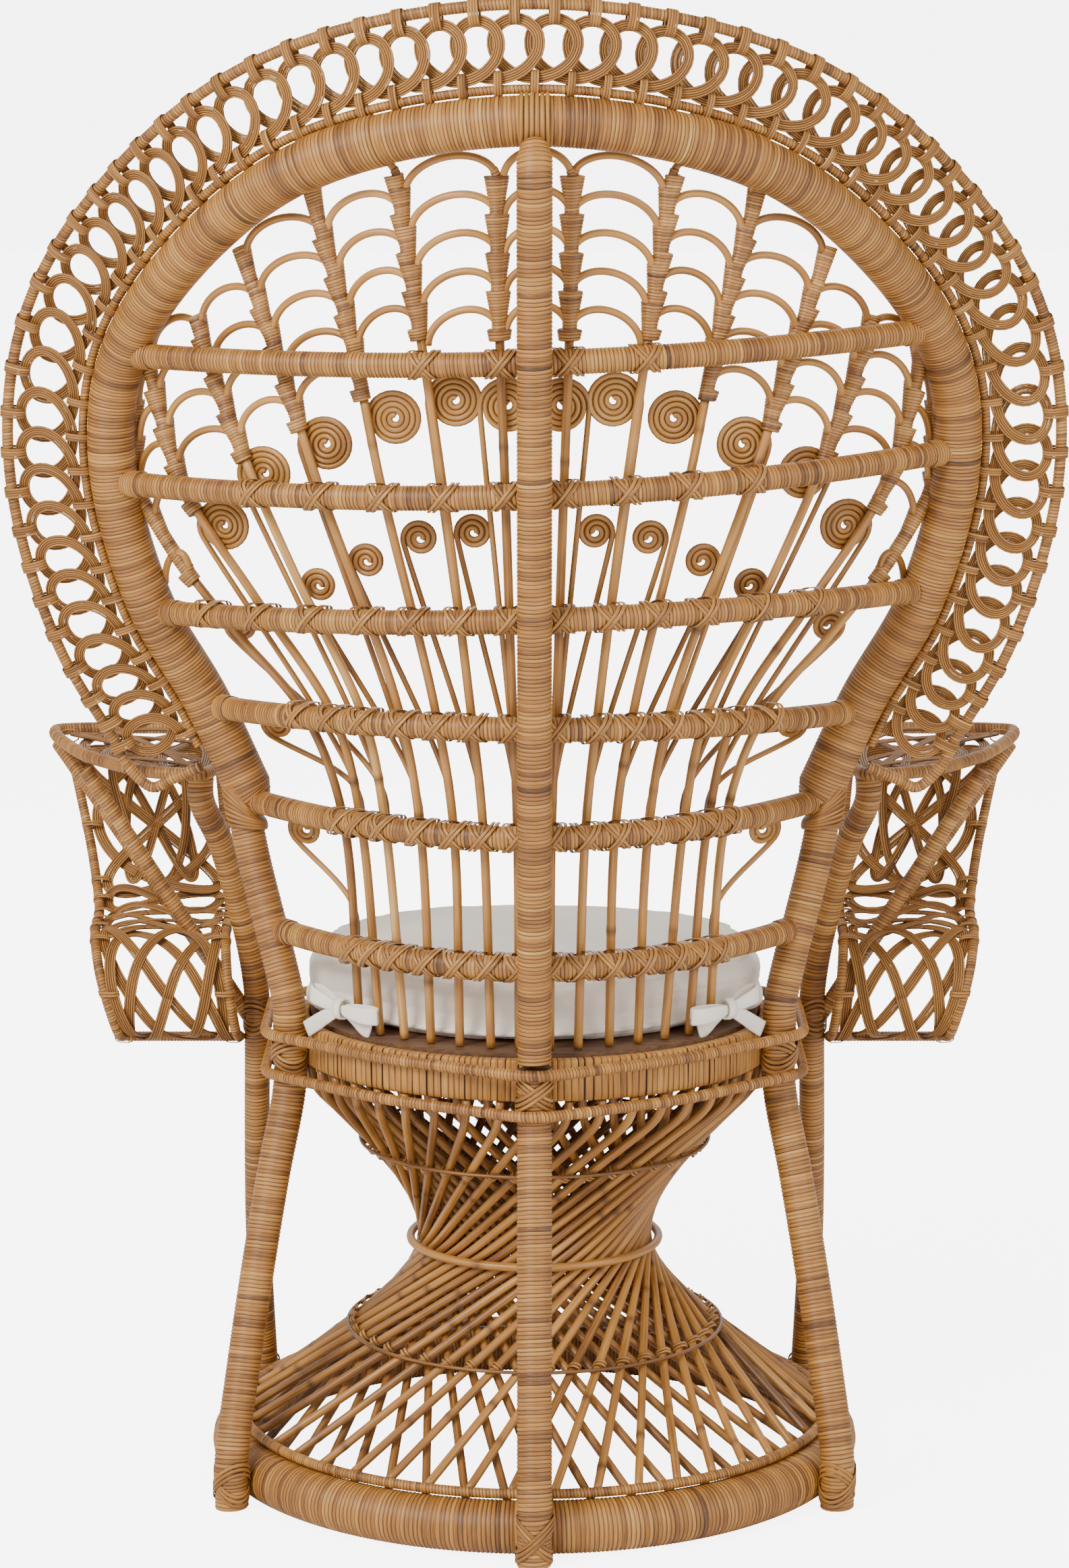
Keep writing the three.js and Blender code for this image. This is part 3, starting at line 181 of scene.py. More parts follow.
# Undyed cotton in herringbone weave: rows of slanted ribs that turn back every few millimetres, matt with a soft
# sheen at the edges. The grain attribute holds millimetres along and across the cloth.
weave = {"row": 5.0, "rib": 1.9}
cotton, tree, shader = newMaterial("herringboneCotton")
grain = addNode(tree, "ShaderNodeAttribute", attribute_name="grain").outputs["Vector"]
along, across, _ = addNode(tree, "ShaderNodeSeparateXYZ", {0: grain}).outputs
zigzag = addNode(tree, "ShaderNodeMath", {0: across, 1: weave["row"]}, operation="PINGPONG").outputs[0]
slant = addNode(tree, "ShaderNodeMath", {0: along, 1: zigzag}, operation="ADD").outputs[0]
rib = addNode(tree, "ShaderNodeMath", {0: slant, 1: 2 * math.pi / weave["rib"]}, operation="MULTIPLY").outputs[0]
rib = addNode(tree, "ShaderNodeMath", {0: rib}, operation="SINE").outputs[0]
yarn = addNode(tree, "ShaderNodeTexNoise", {"Vector": grain, "Scale": 1.1, "Detail": 3}).outputs["Fac"]
cloud = addNode(tree, "ShaderNodeTexNoise", {"Vector": grain, "Scale": 0.03, "Detail": 2}).outputs["Fac"]
height = addNode(tree, "ShaderNodeMath", {0: rib, 1: 0.35, 2: yarn}, operation="MULTIPLY_ADD").outputs[0]
shade = addNode(tree, "ShaderNodeMath", {0: cloud, 1: 0.5, 2: height}, operation="MULTIPLY_ADD").outputs[0]
cloth = addNode(tree, "ShaderNodeValToRGB", {"Fac": shade})
setRamp(cloth, [(0.3, "#ECDDC6"), (0.7, "#FAF0E0"), (1, "#FFFAF0")])
tree.links.new(cloth.outputs[0], shader.inputs["Base Color"])
bump = addNode(tree, "ShaderNodeBump", {"Height": height, "Strength": 0.5, "Distance": 0.0003})
tree.links.new(bump.outputs[0], shader.inputs["Normal"])
shader.inputs["Roughness"].default_value = 0.9
shader.inputs["IOR"].default_value = 1.5
shader.inputs["Sheen Weight"].default_value = 0.3

# Stained board under the cushion: dark brown with a fine straight grain.
stainedBoard, tree, shader = newMaterial("stainedBoard")
spots = addNode(tree, "ShaderNodeTexCoord").outputs["Object"]
spots = addNode(tree, "ShaderNodeMapping", {"Vector": spots, "Scale": (12, 300, 300)}).outputs[0]
lines = addNode(tree, "ShaderNodeTexNoise", {"Vector": spots, "Scale": 1, "Detail": 3}).outputs["Fac"]
stain = addNode(tree, "ShaderNodeValToRGB", {"Fac": lines})
setRamp(stain, [(0.3, "#4A2F1B"), (0.7, "#74502F")])
tree.links.new(stain.outputs[0], shader.inputs["Base Color"])
shader.inputs["Roughness"].default_value = 0.6


# Catmull-Rom through the places, centripetal unless a tension is given, with equal steps in each span.
def curve(places, closed=False, tension=None, steps=24):
    places = np.asarray(places, float)
    if closed:
        padded = np.vstack([places[-1], places, places[:2]])
    else:
        padded = np.vstack([2 * places[0] - places[1], places, 2 * places[-1] - places[-2]])
    t = np.linspace(0, 1, steps, endpoint=False)[:, None]
    spans = []
    for a, b, c, d in zip(padded, padded[1:], padded[2:], padded[3:]):
        if tension is None:
            reach = [max(np.linalg.norm(q - p) ** 0.5, 0.01) for p, q in ((a, b), (b, c), (c, d))]
            leave = ((b - a) / reach[0] - (c - a) / (reach[0] + reach[1]) + (c - b) / reach[1]) * reach[1]
            arrive = ((c - b) / reach[1] - (d - b) / (reach[1] + reach[2]) + (d - c) / reach[2]) * reach[1]
        else:
            leave, arrive = tension * (c - a), tension * (d - b)
        spans.append(b + leave * t + (3 * (c - b) - 2 * leave - arrive) * t ** 2
                     + (2 * (b - c) + leave + arrive) * t ** 3)
    return np.vstack(spans + [places[:1] if closed else places[-1:]])


def lengths(line):
    return np.concatenate([[0], np.cumsum(np.linalg.norm(np.diff(line, axis=0), axis=1))])


def pick(line, places, at):
    return np.stack([np.interp(at, places, line[:, k]) for k in range(line.shape[1])], axis=-1)


def evenly(line, spacing):
    run = lengths(line)
    count = max(int(round(run[-1] / spacing)), 2)
    return pick(line, run, np.linspace(0, run[-1], count + 1))


def smoothed(places, spacing=6, closed=False, tension=None):
    return evenly(curve(places, closed, tension), spacing)


def unit(vectors):
    vectors = np.asarray(vectors, float)
    return vectors / np.maximum(np.linalg.norm(vectors, axis=-1, keepdims=True), 1e-9)


# Tangents, normals and sides along a line. The normal follows up where it is given, and is carried along otherwise.
def framesOf(line, up=None, closed=False):
    tangent = np.gradient(line, axis=0)
    if closed:
        tangent[0] = tangent[-1] = line[1] - line[-2]
    tangent = unit(tangent)
    if up is None:
        start = np.array((0.0, 0.0, 1.0)) if abs(tangent[0][2]) < 0.8 else np.array((0.0, 1.0, 0.0))
        normal = np.empty_like(line)
        for i, along in enumerate(tangent):
            start = start - along * np.dot(start, along)
            start = start / np.linalg.norm(start)
            normal[i] = start
    else:
        normal = np.broadcast_to(np.asarray(up, float), line.shape)
        normal = unit(normal - tangent * np.sum(normal * tangent, axis=1, keepdims=True))
    return tangent, normal, np.cross(tangent, normal)


def polar(radius, degrees, z):
    return np.array((radius * math.cos(math.radians(degrees)), radius * math.sin(math.radians(degrees)), z))


def asDrawn(line):
    return np.asarray(line, float)


def mirrored(line):
    return np.asarray(line, float) * (-1, 1, 1)


bothSides = (("right", asDrawn), ("left", mirrored))


# A value part of the way from the first of a pair to the second.
def between(pair, share):
    return pair[0] + (pair[1] - pair[0]) * share


# wound is true where the piece's material is the strip's, whose grain changes fast along the pole.
def newMesh(wound=True):
    return {"points": [], "quads": [], "tris": [], "tone": [], "seamAndShade": [], "grain": [], "count": 0, "wound": wound}


def addPoints(mesh, points, quads, tris, tone, seamAndShade, grain):
    base = mesh["count"]
    points = points.reshape(-1, 3)
    mesh["points"].append(points)
    mesh["quads"].append(np.asarray(quads, np.int64).reshape(-1, 4) + base)
    mesh["tris"].append(np.asarray(tris, np.int64).reshape(-1, 3) + base)
    mesh["tone"].append(np.broadcast_to(tone, len(points)).astype(float))
    mesh["seamAndShade"].append(np.broadcast_to(seamAndShade, len(points)).astype(float))
    mesh["grain"].append(grain.reshape(-1, 3))
    mesh["count"] += len(points)


# A round or flattened rod. sizes is its half width out along the normal and to the side, alike all along or one for
# each point; a share of painted shade darkens its flanks, where it lies against its neighbours.
def addRod(mesh, line, sizes, sides=8, tone=0.5, up=None, closed=False, rings=None, seed=0.0, contactShade=0.0, power=1.0):
    line = np.asarray(line, float)
    sizes = sizes if isinstance(sizes, tuple) else (sizes, sizes)
    outSize, sideSize = (np.broadcast_to(size, len(line))[:, None] for size in sizes)
    _, normal, side = framesOf(line, up, closed)
    run = lengths(line)
    if closed:
        line, normal, side, run, outSize, sideSize = (v[:-1] for v in (line, normal, side, run, outSize, sideSize))
    count = len(line)
    angle = np.arange(sides) / sides * 2 * math.pi
    cosine, sine = (np.sign(v) * np.abs(v) ** power for v in (np.cos(angle), np.sin(angle)))
    swell = np.ones(count)
    # The flanks, where the rod lies against its neighbours, get painted shade.
    seamAndShade = np.broadcast_to(contactShade * np.abs(np.sin(angle)) ** 3, (count, sides)).copy()
    if rings is not None:  # growth rings on whole cane
        for place in rings:
            near = np.exp(-((run - place) / 2.5) ** 2)
            swell = swell + 0.1 * near
            seamAndShade = np.maximum(seamAndShade, 0.75 * near[:, None])
    outward, sideward = outSize * cosine * swell[:, None], sideSize * sine * swell[:, None]
    points = line[:, None] + outward[..., None] * normal[:, None] + sideward[..., None] * side[:, None]
    grain = [np.broadcast_to(run[:, None] + seed * 977, (count, sides)), outward + seed * 131, sideward]
    grain = np.stack(grain[2:] + grain[:2] if mesh["wound"] else grain, axis=-1)
    i, j = np.meshgrid(np.arange(count if closed else count - 1), np.arange(sides), indexing="ij")
    nextI, nextJ = (i + 1) % count, (j + 1) % sides
    quads = np.stack([i * sides + j, i * sides + nextJ, nextI * sides + nextJ, nextI * sides + j], axis=-1)
    tris = []
    if not closed:
        for k in range(1, sides - 1):
            last = (count - 1) * sides
            tris += [(0, k + 1, k), (last, last + k, last + k + 1)]
    addPoints(mesh, points, quads, tris, tone, seamAndShade.reshape(-1), grain)


# A pole closely wound with flat strip: each turn is a low ridge with a groove beside it, and the mesh follows the
# helix, so that every turn runs into the next. radius is a number or a function of the run; section gives other
# outlines from the angle and the run.
strip = {"phases": (0.0, 0.22, 0.5, 0.78), "lifts": (-1.0, 0.15, 0.35, 0.15)}
# For each kind of pole: the strip's pitch, the mesh's corners round the pole, and the depth of the grooves.
windings = {
    "arch": (3.6, 24, 0.65), "band": (3.8, 24, 0.6), "crownHoop": (3.6, 10, 0.4), "thin": (3.4, 10, 0.45),
    "baseRing": (4.3, 20, 0.6), "leg": (4.0, 16, 0.55), "pole": (4.0, 14, 0.5), "spine": (4.0, 16, 0.6),
    "rail": (3.8, 12, 0.5), "railEnd": (3.4, 12, 0.5), "stem": (3.0, 12, 0.5), "collar": (2.8, 10, 0.4),
    "hoop": (3.6, 12, 0.45),
}


def addWrap(mesh, line, radius, winding, seed, closed=False, up=None, floorZ=None, section=None):
    pitch, sides, depth = windings[winding]
    line = np.asarray(line, float)
    _, normal, side = framesOf(line, up, closed)
    run = lengths(line)
    turns = int(round(run[-1] / pitch)) if closed else int(run[-1] / pitch)
    pitch = run[-1] / turns
    steps = len(strip["phases"])
    rows = turns * steps if closed else (turns - 1) * steps + 1
    row = np.arange(rows)
    turn = row // steps
    phase = np.take(strip["phases"], row % steps)
    lift = np.take(strip["lifts"], row % steps) * depth
    angle = np.arange(sides) / sides * 2 * math.pi
    at = (turn + phase)[:, None] * pitch + (np.arange(sides) / sides)[None, :] * pitch
    if closed:
        at = at % run[-1]
    centre, out, beside = (pick(v, run, at) for v in (line, normal, side))
    if section is None:
        reach = radius(at) if callable(radius) else radius
        shapeOut, shapeSide = reach * np.cos(angle), reach * np.sin(angle)
    else:
        shapeOut, shapeSide = section(angle, at)
    size = np.hypot(shapeOut, shapeSide)
    grow = 1 + lift[:, None] / np.maximum(size, 1)
    points = centre + (grow * shapeOut)[..., None] * out + (grow * shapeSide)[..., None] * beside
    if floorZ is not None:
        points[..., 2] = np.maximum(points[..., 2], floorZ)
    chance = np.random.default_rng(seed)
    drift = 0.04 * np.sin(np.arange(turns + 1) * 0.11 + seed)
    turnTone = np.clip(0.5 + chance.normal(0, 0.1, turns + 1) + drift, 0, 1)
    turnTone[chance.random(turns + 1) < 0.08] -= 0.2
    tone = np.broadcast_to(turnTone[turn][:, None], (rows, sides)).reshape(-1)
    # Painted shade darkens the groove where two turns meet, a little more or less from turn to turn.
    grooveShade = np.clip(0.9 + chance.normal(0, 0.2, turns + 1), 0.4, 1)[turn]
    seamAndShade = np.broadcast_to(np.where(row % steps == 0, grooveShade, 0)[:, None], (rows, sides)).reshape(-1)
    grain = [at, np.broadcast_to(shapeOut + seed * 37, at.shape), np.broadcast_to(shapeSide, at.shape)]
    grain = np.stack(grain if mesh["wound"] else [grain[1] + grain[2] * 1.7, at, np.full(at.shape, seed)], axis=-1)
    i, j = np.meshgrid(np.arange(rows), np.arange(sides), indexing="ij")
    shiftI = i + np.where(j == sides - 1, steps, 0)
    nextJ = (j + 1) % sides
    if closed:
        corners = [(i, j), (shiftI % rows, nextJ), ((shiftI + 1) % rows, nextJ), ((i + 1) % rows, j)]
        quads = np.stack([a * sides + b for a, b in corners], axis=-1)
        tris = []
    else:
        fits = (i + 1 < rows) & (shiftI + 1 < rows)
        quads = np.stack([i * sides + j, shiftI * sides + nextJ, (shiftI + 1) * sides + nextJ, (i + 1) * sides + j],
                         axis=-1)[fits]
        first = list(range(sides)) + [k * sides for k in range(steps, 0, -1)]
        end = rows - 1
        last = [end * sides + k for k in range(sides)] + [(end - k) * sides + sides - 1 for k in range(1, steps + 1)]
        total = rows * sides
        tris = [(total, b, a) for a, b in zip(first, first[1:] + first[:1])]
        tris += [(total + 1, a, b) for a, b in zip(last, last[1:] + last[:1])]
        ends = np.stack([points.reshape(-1, 3)[first].mean(0), points.reshape(-1, 3)[last].mean(0)])
        points = np.vstack([points.reshape(-1, 3), ends])
        grain = np.vstack([grain.reshape(-1, 3), grain.reshape(-1, 3)[[0, -1]]])
        tone = np.concatenate([tone, tone[[0, -1]]])
        seamAndShade = np.concatenate([seamAndShade, [0.6, 0.6]])
    addPoints(mesh, points, quads, tris, tone, seamAndShade, grain)


# A closed loop of flat strip round something: across and deep are its plane's directions.
def addLoop(mesh, centre, across, deep, halfAcross, halfDeep, width=3.4, thick=1.3, tone=0.5, power=0.7, steps=20,
            contactShade=0.5, sides=6, square=1.0):
    angle = np.arange(steps + 1) / steps * 2 * math.pi
    cosine, sine = np.cos(angle), np.sin(angle)
    u = np.sign(cosine) * np.abs(cosine) ** power * halfAcross
    v = np.sign(sine) * np.abs(sine) ** power * halfDeep
    line = centre + u[:, None] * across + v[:, None] * deep
    up = u[:, None] * across + v[:, None] * deep
    # The strip's flanks get painted shade where it lies against its neighbours.
    addRod(mesh, line, (thick / 2, width / 2), sides, tone, unit(up), True, seed=tone * 7, contactShade=contactShade, power=square)


# Strips that cross on a pole's outer side, both ways, and pass behind it. They hug the pole: reach is how far they
# stand out across it and how far they go along it, and depths are the pole's half depth before and behind.
def addLashing(mesh, centre, upAxis, sideAxis, reach, depths, seed, turns=3, width=3.8, thick=1.2, upright=True):
    upAxis, sideAxis, centre = unit(upAxis), unit(sideAxis), np.asarray(centre, float)
    inward = unit(np.cross(upAxis, sideAxis))
    across, along = (sideAxis, upAxis) if upright else (upAxis, sideAxis)
    chance = np.random.default_rng(seed)
    angle = np.arange(29) / 28 * 2 * math.pi
    sine, cosine = np.sin(angle)[:, None], np.cos(angle)[:, None]
    for sign in (1, -1):
        for turn in range(turns):
            shift = (turn - (turns - 1) / 2) * width * 1.35
            grow = thick * 0.4 * (sign + 1)
            depth = np.where(cosine > 0, depths[0], depths[1]) + grow
            line = centre + along * (shift + sign * reach[1] * sine) + across * (reach[0] + grow) * sine
            # Each strip's flanks get painted shade, where it lies against the pole and the other strips.
            addRod(mesh, line - inward * depth * cosine, (thick / 2, width / 2), 8, 0.5 + chance.normal(0, 0.08),
                   unit(across * sine - inward * cosine), True, seed=sign + turn, contactShade=0.6, power=0.7)


# Each finish is a material here and the record's slot that it belongs to.
finishes = {
    "wrapped": (wrappedPeel, "wrapped_rattan"), "rod": (peeledCane, "peeled_cane"), "lace": (roundReed, "core_lace"),
    "armFrame": (wrappedPeel, "core_lace"), "pad": (cotton, "cushion_cloth"), "tie": (cotton, "tie_cloth"),
}


def makePiece(mesh, name, finish, *nodes):
    material, slotName = finishes[finish]
    points = toRow(np.vstack(mesh["points"]))
    quads, tris = np.vstack(mesh["quads"]), np.vstack(mesh["tris"])
    data = bpy.data.meshes.new(name)
    data.vertices.add(len(points))
    data.vertices.foreach_set("co", points.astype(np.float32).reshape(-1))
    data.loops.add(quads.size + tris.size)
    data.loops.foreach_set("vertex_index", np.concatenate([quads.reshape(-1), tris.reshape(-1)]).astype(np.int32))
    data.polygons.add(len(quads) + len(tris))
    starts = np.concatenate([np.arange(len(quads)) * 4, quads.size + np.arange(len(tris)) * 3])
    data.polygons.foreach_set("loop_start", starts.astype(np.int32))
    data.update(calc_edges=True)
    data.validate()
    data.shade_smooth()
    for key, kind, field in (("tone", "FLOAT", "value"), ("seamAndShade", "FLOAT", "value"),
                             ("grain", "FLOAT_VECTOR", "vector")):
        values = np.concatenate([np.asarray(v, float).reshape(-1) for v in mesh[key]])
        data.attributes.new(key, kind, "POINT").data.foreach_set(field, values.astype(np.float32))
    data.materials.append(material)
    piece = bpy.data.objects.new(name, data)
    bpy.context.scene.collection.objects.link(piece)
    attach(piece, "root")
    if nodes:
        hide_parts(*nodes)
    return piece


# Straight runs with their corners worn round over about the given reach.
def bent(places, reach, spacing=7.0):
    line = evenly(np.asarray(places, float), spacing)
    for _ in range(max(int((reach / spacing) ** 2 / 2), 1)):
        line[1:-1] = (line[:-2] + 2 * line[1:-1] + line[2:]) / 4
    return line


print("back")
# The back is a hollow surface: it leans back as it rises, and its sides come forward by the sag.
back = {"seat": 484, "top": 1394, "half": 418, "lean": 0.13, "sag": 200, "seatHalf": 280, "atSeat": -232.5,
        "archTube": 24, "legTube": 17, "spineTube": 17, "railTube": 12.5}
backRise = back["top"] - back["seat"]


def sideWidth(z):
    share = np.clip(((z - back["seat"]) / backRise - 0.24) / (0.6 - 0.24), 0, 1)
    share = share * share * (3 - 2 * share)
    return back["seatHalf"] + (back["half"] - back["seatHalf"]) * share


# Places on the back, or on a layer off it measured square to its slope.
def onBack(x, z, layer=0.0):
    x, z = np.asarray(x, float), np.asarray(z, float)
    width = sideWidth(z)
    y = back["atSeat"] - back["lean"] * (z - back["seat"]) + back["sag"] * (x / width) ** 2
    slope = 2 * back["sag"] * x / width ** 2
    return np.stack(np.broadcast_arrays(x, y + layer * np.sqrt(1 + slope ** 2 + back["lean"] ** 2), z), axis=-1)


def backPlace(across, up, layer=0.0):
    return onBack(np.asarray(across) * back["half"], back["seat"] + np.asarray(up) * backRise, layer)


print("arch and crown")
# Places on the arch, as shares across the back and up it.
archShares = [(0.69, 0.255), (0.795, 0.36), (0.925, 0.475), (1, 0.62), (0.975, 0.735), (0.818, 0.848), (0.5, 0.957),
              (0, 1)]
archPlaces = [backPlace(-a, u) for a, u in archShares] + [backPlace(a, u) for a, u in archShares[-2::-1]]
archLine = smoothed(archPlaces, 2)
archRun = lengths(archLine) / lengths(archLine)[-1]
archLength = lengths(archLine)[-1]
archTangent = framesOf(archLine)[0]


def crownFrame(share):
    along = unit(pick(archTangent, archRun, share))
    outward = np.stack([-along[..., 2], 0.2 * np.abs(along[..., 2]), along[..., 0]], axis=-1)
    outward = unit(outward - along * np.sum(outward * along, axis=-1, keepdims=True))
    return outward, np.cross(along, outward)


def crownPlace(share, out, lift=0.0):
    outward, face = crownFrame(share)
    return pick(archLine, archRun, share) + np.asarray(out)[..., None] * outward + np.asarray(lift)[..., None] * face


# The wrapping goes on past the arch's places and turns a little in, over the posts.
tip = {"length": 15, "inward": (6, 0, 0)}
archTips = [archLine[0] - archTangent[0] * tip["length"] + tip["inward"],
            archLine[-1] + archTangent[-1] * tip["length"] - tip["inward"]]
archDrawn = evenly(np.vstack([archTips[:1], archLine, archTips[1:]]), 6)
drawnLength = lengths(archDrawn)[-1]


# The arch's ends are rounded off over the posts.
def archRadius(run):
    inside = np.clip(np.minimum(run, drawnLength - run) / back["archTube"], 0.05, 1)
    return (back["archTube"] - 0.2) * np.sqrt(1 - (1 - inside) ** 2)


arch = newMesh()
addWrap(arch, archDrawn, archRadius, "arch", 3)
makePiece(arch, "wrappedArch", "wrapped", "main_arch")

crown = {"hoopTube": 5, "rimTube": 6, "height": 64, "pitch": 31.5, "halfWidth": 5, "halfThick": 2, "start": 0.03,
         "backShare": 0.85, "cores": 5, "coreRadius": 1.14, "nodes": 6, "tieStep": 2.6, "tieWidth": 2.7,
         "tieThick": 1.2}
hoopOut = back["archTube"] + crown["hoopTube"] + clear
laceMiddle = hoopOut + crown["hoopTube"] + clear + crown["height"] / 2
rimOut = laceMiddle + crown["height"] / 2 + 2.4 + crown["rimTube"]
laceMargin = crown["start"] * 1.3
laceSpan = 1 - 2 * laceMargin
loopCount = round(archLength * laceSpan / crown["pitch"] / crown["nodes"]) * crown["nodes"]
laceReach = crown["height"] / 2 - crown["halfWidth"]

crownShares = np.linspace(crown["start"], 1 - crown["start"], 400)
innerHoop = newMesh()
addWrap(innerHoop, crownPlace(crownShares, hoopOut), crown["hoopTube"] - 0.4, "crownHoop", 2)
makePiece(innerHoop, "crownInnerHoop", "wrapped", "crown_inner_hoop")

rim = newMesh()
endShare = crown["start"] * 0.7
rimEnds = np.array((hoopOut + crown["hoopTube"] + 0.6, rimOut - 34, rimOut - 14))  # it turns in to the inner hoop
rimStart = crownPlace(np.full(3, endShare), rimEnds)
rimFinish = crownPlace(np.full(3, 1 - endShare), rimEnds)[::-1]
rimLine = smoothed(np.vstack([rimStart, crownPlace(np.linspace(0.036, 0.964, 60), rimOut), rimFinish]), 5)
addWrap(rim, rimLine, crown["rimTube"] - 0.3, "thin", 5)
makePiece(rim, "crownOuterRim", "wrapped", "crown_outer_rim")


def laceStretch(first, last, perLoop=30):
    turn = np.linspace(first, last, int((last - first) * perLoop))
    angle = turn * 2 * math.pi
    share = laceMargin + laceSpan / loopCount * (turn + 0.5 - crown["backShare"] * np.sin(angle))
    outward, face = crownFrame(share)
    line = crownPlace(share, laceMiddle + laceReach * np.cos(angle), -crown["halfThick"] * 3.1 * np.sin(angle))
    return line, face


# Cores laid side by side along a line; face gives the way that their row looks.
def addCores(mesh, line, face, cores, radius, seed):
    tangent = unit(np.gradient(line, axis=0))
    beside = unit(np.cross(face, tangent))
    chance = np.random.default_rng(seed)
    for core in range(cores):
        shift = (core - (cores - 1) / 2) * radius * 1.96
        wander = 0.16 * radius * np.sin(np.linspace(0, 40, len(line)) + chance.uniform(0, 6))
        strand = line + beside * shift + unit(face) * (wander + chance.uniform(-0.2, 0.2) * radius)[:, None]
        # Each core's flanks get painted shade, where it lies against the cores beside it.
        addRod(mesh, strand, (radius * 1.1, radius), 8, 0.5 + chance.normal(0, 0.09), face, seed=chance.uniform(0, 9),
               contactShade=0.9)


loopsPerNode = loopCount // crown["nodes"]
for node in range(crown["nodes"]):
    lace = newMesh(False)
    first = node * loopsPerNode - 0.5 + 0.004
    line, face = laceStretch(first, first + loopsPerNode - 0.008)
    addCores(lace, line, face, crown["cores"], crown["coreRadius"], 40 + node)
    chance = np.random.default_rng(60 + node)
    for loop in range(loopsPerNode):
        turn = node * loopsPerNode + loop
        share = laceMargin + laceSpan / loopCount * (turn + 0.5)
        outward, face = crownFrame(np.array(share))
        along = np.cross(outward, face)
        low = share - laceSpan / loopCount * 0.5
        # Each loop is tied to the rim with four turns and, half a loop on, to the inner hoop with three.
        for at, out, turns, reach in ((share, rimOut - 5.5, 4, (12.6, 8.2)), (low, hoopOut + 5.3, 3, (12.0, 7.2))):
            middle = crownPlace(np.array(at), out)
            for k in np.arange(turns) - (turns - 1) / 2:
                addLoop(lace, middle + along * k * crown["tieStep"], outward, face, *reach, crown["tieWidth"],
                        crown["tieThick"], 0.5 + chance.normal(0, 0.1), 0.8, 16)
    makePiece(lace, f"crownLace.{node + 1}", "lace", f"crown_lace_{node + 1}")

print("legs and base")
base = {"radius": 311, "tube": 26, "hoopTube": 5.5}
seat = {"apron": 245, "depth": 46, "wall": 13, "hoopTube": 6, "hoops": (473, 432), "deck": 12, "trim": 1.5,
        "stripWidths": (4.0, 8.0), "openGaps": (0.8, 1.8), "openShare": 0.2, "closeGap": 0.25}
legSeat = seat["apron"] + back["legTube"] + clear
legFoot = base["radius"] + base["tube"] + back["legTube"] + clear
kneeHeight = seat["hoops"][1] - seat["hoopTube"] * 2
angles = {"rearSeat": -18, "rearFoot": -30, "poleSeat": 18, "poleFoot": 34}
baseHoopZ = base["tube"] * 2 + base["hoopTube"] + clear


def circle(radius, z, step=3.0):
    return np.array([polar(radius, degrees, z) for degrees in np.arange(0, 360.001, step)])


baseRing = newMesh()
addWrap(baseRing, circle(base["radius"], base["tube"], 2.0), base["tube"] + 0.2, "baseRing", 7, True, (0, 0, 1), 0)
makePiece(baseRing, "wrappedBaseRing", "wrapped", "base_ring")

baseHoop = newMesh()
addWrap(baseHoop, circle(base["radius"] - base["hoopTube"], baseHoopZ), base["hoopTube"] - 0.3, "thin", 8, True,
        (0, 0, 1))
makePiece(baseHoop, "baseThinHoop", "wrapped", "base_thin_hoop")


def legPlaces(seatAngle, footAngle, top):
    places = [polar(legFoot, footAngle, 0), polar(legFoot, footAngle, 26)]
    for share in np.linspace(0, 1, 5):
        places.append(polar(legFoot + (legSeat - legFoot) * share, footAngle + (seatAngle - footAngle) * share,
                            52 + (kneeHeight - 52) * share))
    return places + [polar(legSeat, seatAngle, top)]


# Crossed strips tie each foot to the ring.
def footLashing(mesh, angle, seed, legRadius):
    hug = legRadius + 0.7
    addLashing(mesh, polar(legFoot, angle, base["tube"] + 3), (0, 0, 1), polar(1, angle + 90, 0), (hug, legRadius),
               (hug, hug), seed)


archFoot = archLine[-1]
sidePostLine = smoothed(legPlaces(angles["rearSeat"], angles["rearFoot"], back["seat"]) + [
    polar(legSeat, angles["rearSeat"], back["seat"] + back["legTube"]),
    archFoot + (-3, -3, -70),
    archFoot + (9, 3, -12),
    archFoot + (21, 9, 34),
], 6)
# Strips below the arch's end: level where they meet the post, steeper and wider beside the arch. Pairs go from the
# lowest strip to the highest; tilt is in degrees.
fan = {"strips": 10, "tilt": (6, 56), "outward": (3, 11), "height": (-34, 0), "across": (20, 29),
       "deep": (19.5, 21.5), "width": 4.4}
for sideName, turned in bothSides:
    post = newMesh()
    addWrap(post, turned(sidePostLine), back["legTube"] + 0.1, "leg", 11 if sideName == "right" else 12, floorZ=0)
    for k, share in enumerate(np.linspace(0, 1, fan["strips"])):
        tilt = math.radians(between(fan["tilt"], share))
        spot = archFoot + (between(fan["outward"], share), 1, between(fan["height"], share))
        # Each strip's flanks get painted shade where it lies against its neighbours.
        addLoop(post, turned(spot), turned((math.cos(tilt), 0, math.sin(tilt))), np.array((0, 1.0, 0)),
                between(fan["across"], share), between(fan["deep"], share), fan["width"], 1.3, 0.42 + 0.05 * (k % 4),
                0.95, 24, 0.6)
    footAngle = angles["rearFoot"] if sideName == "right" else 180 - angles["rearFoot"]
    footLashing(post, footAngle, 15, back["legTube"])
    makePiece(post, f"rearSidePost.{sideName}", "wrapped", f"rear_side_post_{sideName}")

